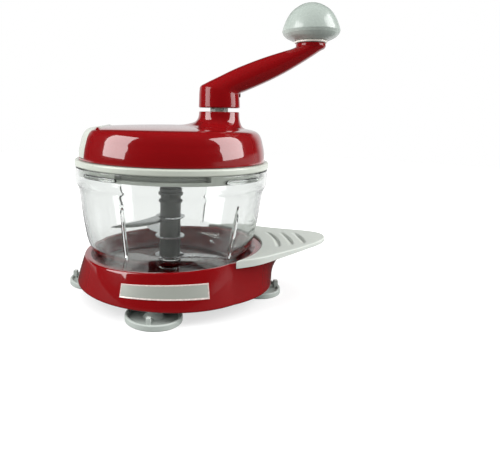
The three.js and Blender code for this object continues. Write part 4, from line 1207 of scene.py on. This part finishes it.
def make_knob():
    shares = [
        (0.62, 0), (0.85, 0.085), (0.96, 0.165), (1, 0.24), (0.97, 0.33), (0.93, 0.42), (0.885, 0.505),
        (0.82, 0.6), (0.735, 0.695), (0.64, 0.775), (0.47, 0.866), (0.31, 0.928), (0.15, 0.959),
        (0, 0.969),
    ]
    bore_radius = 3.4
    bore_top_z = knob_bottom_z + 14
    outline = shared(shares, knob_radius, knob_bottom_z, knob_top_z - knob_bottom_z)
    crease = rounded([outline[2], (*outline[3], 1.2), outline[4]], 6)
    profile = [
        (0, bore_top_z), (bore_radius, bore_top_z), (bore_radius, knob_bottom_z),
        *smooth(outline[:3], 24), *crease[1:-1], *smooth(outline[4:], 60),
    ]
    make("palm_knob", lathe(profile, 160, knob_x), "knob", knob_grey, ["knob"], 50)


def make_washer():
    low, high = corners("knob_washer")
    bore_radius = 3.3
    radius = collar_radius + 1.2
    low_z = low.z - 0.2
    high_z = high.z + 0.2
    ring = turned([
        (bore_radius, low_z), (radius, low_z, 0.5), (radius, high_z, 0.5), (bore_radius, high_z),
    ], knob_x)
    make("washer", ring, "crank", white, ["knob_washer"])


make_base()
make_pad()
make_plate()
for foot_name in ("foot_right", "foot_back", "foot_left", "foot_front"):
    make_foot(foot_name)
make_bowl()
for blade_name, blade_angle in (("blade_low", 0), ("blade_middle", 120), ("blade_high", 240)):
    make_blade(blade_name, blade_angle)
make_post()
make_lid_ring()
make_shell()
make_tower()
make_door()
make_coupling()
make_arm()
make_spindle()
make_knob()
make_washer()


# Floor, light and camera, in metres
def seen_directly(tree):
    """One for rays from the camera, straight or through the clear bowl."""
    return math_node(tree, "ADD", ray_is(tree, "Camera"), ray_is(tree, "Transmission"), True)


def make_floor():
    """White paper that keeps the object's shadow, with a painted shadow where its glow drops near the
    object, and that reflections see only behind the object.
    """
    radius = 1.5
    sides = 64
    paper = 0.26
    darker_reflected = 0.22
    lighter_seen = 0.12
    painted_shadow_glow = 0.62
    data = bpy.data.meshes.new("floor")
    data.from_pydata(circle(radius, 0, sides), [], [tuple(range(sides))])
    floor = placed("floor", data)
    material = principled("floor_paper", Roughness=0.9, Specular_IOR_Level=0.1,
                          Emission_Color=(1, 1, 1, 1))
    data.materials.append(material)
    tree = material.node_tree
    place = node(tree, "ShaderNodeTexCoord")["Object"]
    length = node(tree, "ShaderNodeVectorMath", {0: place}, operation="LENGTH")["Value"]
    # Painted shadow: the glow is lower near the floor's middle, under the object
    glow_with_painted_shadow = ramp(tree, length, 0.08, 0.3, painted_shadow_glow, 1.0)
    glossy = ray_is(tree, "Glossy")
    behind = ramp(tree, node(tree, "ShaderNodeSeparateXYZ", {0: place})["Y"], 0.15, 0.4, 0.0, 1.0)
    shown = math_node(tree, "MAXIMUM", seen_directly(tree), math_node(tree, "MULTIPLY", glossy, behind))
    bounced = math_node(tree, "SUBTRACT", paper, math_node(tree, "MULTIPLY", glossy, darker_reflected))
    seen = math_node(tree, "MULTIPLY", seen_directly(tree), lighter_seen)
    feed(material, "Base Color", math_node(tree, "ADD", bounced, seen))
    feed(material, "Emission Strength", math_node(tree, "MULTIPLY", shown, glow_with_painted_shadow))


def make_world():
    """White to the camera and in the clear plastic. A reflection shows the same white backdrop
    behind the object and, beside it, a pale band near the floor, in a room that is dark otherwise.
    Ramps go by the components of the direction, from -1 to 1."""
    backdrop_strength = 0.7
    beside_strength = 0.35
    room_strength = 0.015
    low_light = 0.05
    top_light = 1.55
    side_light = 2.6
    world = bpy.data.worlds.new("studio")
    bpy.context.scene.world = world
    world.use_nodes = True
    tree = world.node_tree
    background = tree.nodes["Background"]
    background.inputs["Color"].default_value = (1, 1, 1, 1)
    x, y, z = node(tree, "ShaderNodeSeparateXYZ", {0: node(tree, "ShaderNodeTexCoord")["Generated"]})
    backdrop = math_node(tree, "MULTIPLY", ramp(tree, y, 0.55, 0.8, 0.0, backdrop_strength),
                         ramp(tree, z, 0.3, 0.42, 1.0, 0.0))
    beside = math_node(tree, "MULTIPLY", ramp(tree, x, 0.7, 0.85, 0.0, beside_strength),
                       ramp(tree, z, 0.0, 0.06, 1.0, 0.0))
    room = math_node(tree, "ADD", math_node(tree, "MAXIMUM", backdrop, beside), room_strength)
    above = ramp(tree, z, 0.2, 1.0, low_light, top_light)
    sides = ramp(tree, math_node(tree, "ABSOLUTE", x, 0), 0.6, 1.0, 0.0, side_light)
    light = math_node(tree, "ADD", above, sides)
    mixed = node(tree, "ShaderNodeMix", {"Factor": ray_is(tree, "Glossy"), "A": light, "B": room})
    shown = node(tree, "ShaderNodeMix", {"Factor": seen_directly(tree), "A": mixed["Result"], "B": 1.0})
    tree.links.new(shown["Result"], background.inputs["Strength"])


def make_softbox(name, azimuth, radiance):
    """A lamp that fills a range of directions round the lid, with the radiance it reflects with."""
    low_elevation = 2.5
    high_elevation = 46
    spread = 34
    distance = 1.6
    target = Vector((axis_x, 0, 0.13))
    elevation = (low_elevation + high_elevation) / 2
    width = 2 * distance * math.tan(math.radians(spread / 2))
    height = 2 * distance * math.tan(math.radians((high_elevation - low_elevation) / 2))
    light = bpy.data.lights.new(name, "AREA")
    light.shape = "RECTANGLE"
    light.size = width
    light.size_y = height
    light.energy = radiance * math.pi * width * height
    lamp = placed(name, light)
    flat, up = polar(distance, elevation)
    ahead, aside = polar(flat, azimuth)
    lamp.location = target + Vector((aside, -ahead, up))
    lamp.rotation_euler = (target - lamp.location).to_track_quat("-Z", "Y").to_euler()


def make_camera():
    distance = 0.44048
    height = 0.16152
    roll = -1.085
    data = bpy.data.cameras.new("view")
    data.lens = 34.5
    data.sensor_width = 36
    data.shift_x = 0.1554
    data.shift_y = -0.2248
    camera = placed("view", data)
    camera.location = (axis_x, -distance, height)
    camera.rotation_euler = Euler((math.radians(90), math.radians(roll), 0), "XYZ")
    bpy.context.scene.camera = camera


make_floor()
make_world()
make_softbox("softbox_left", -71, 5.8)
make_softbox("softbox_right", 77, 5.6)
make_camera()
bpy.context.scene.view_settings.view_transform = "Standard"
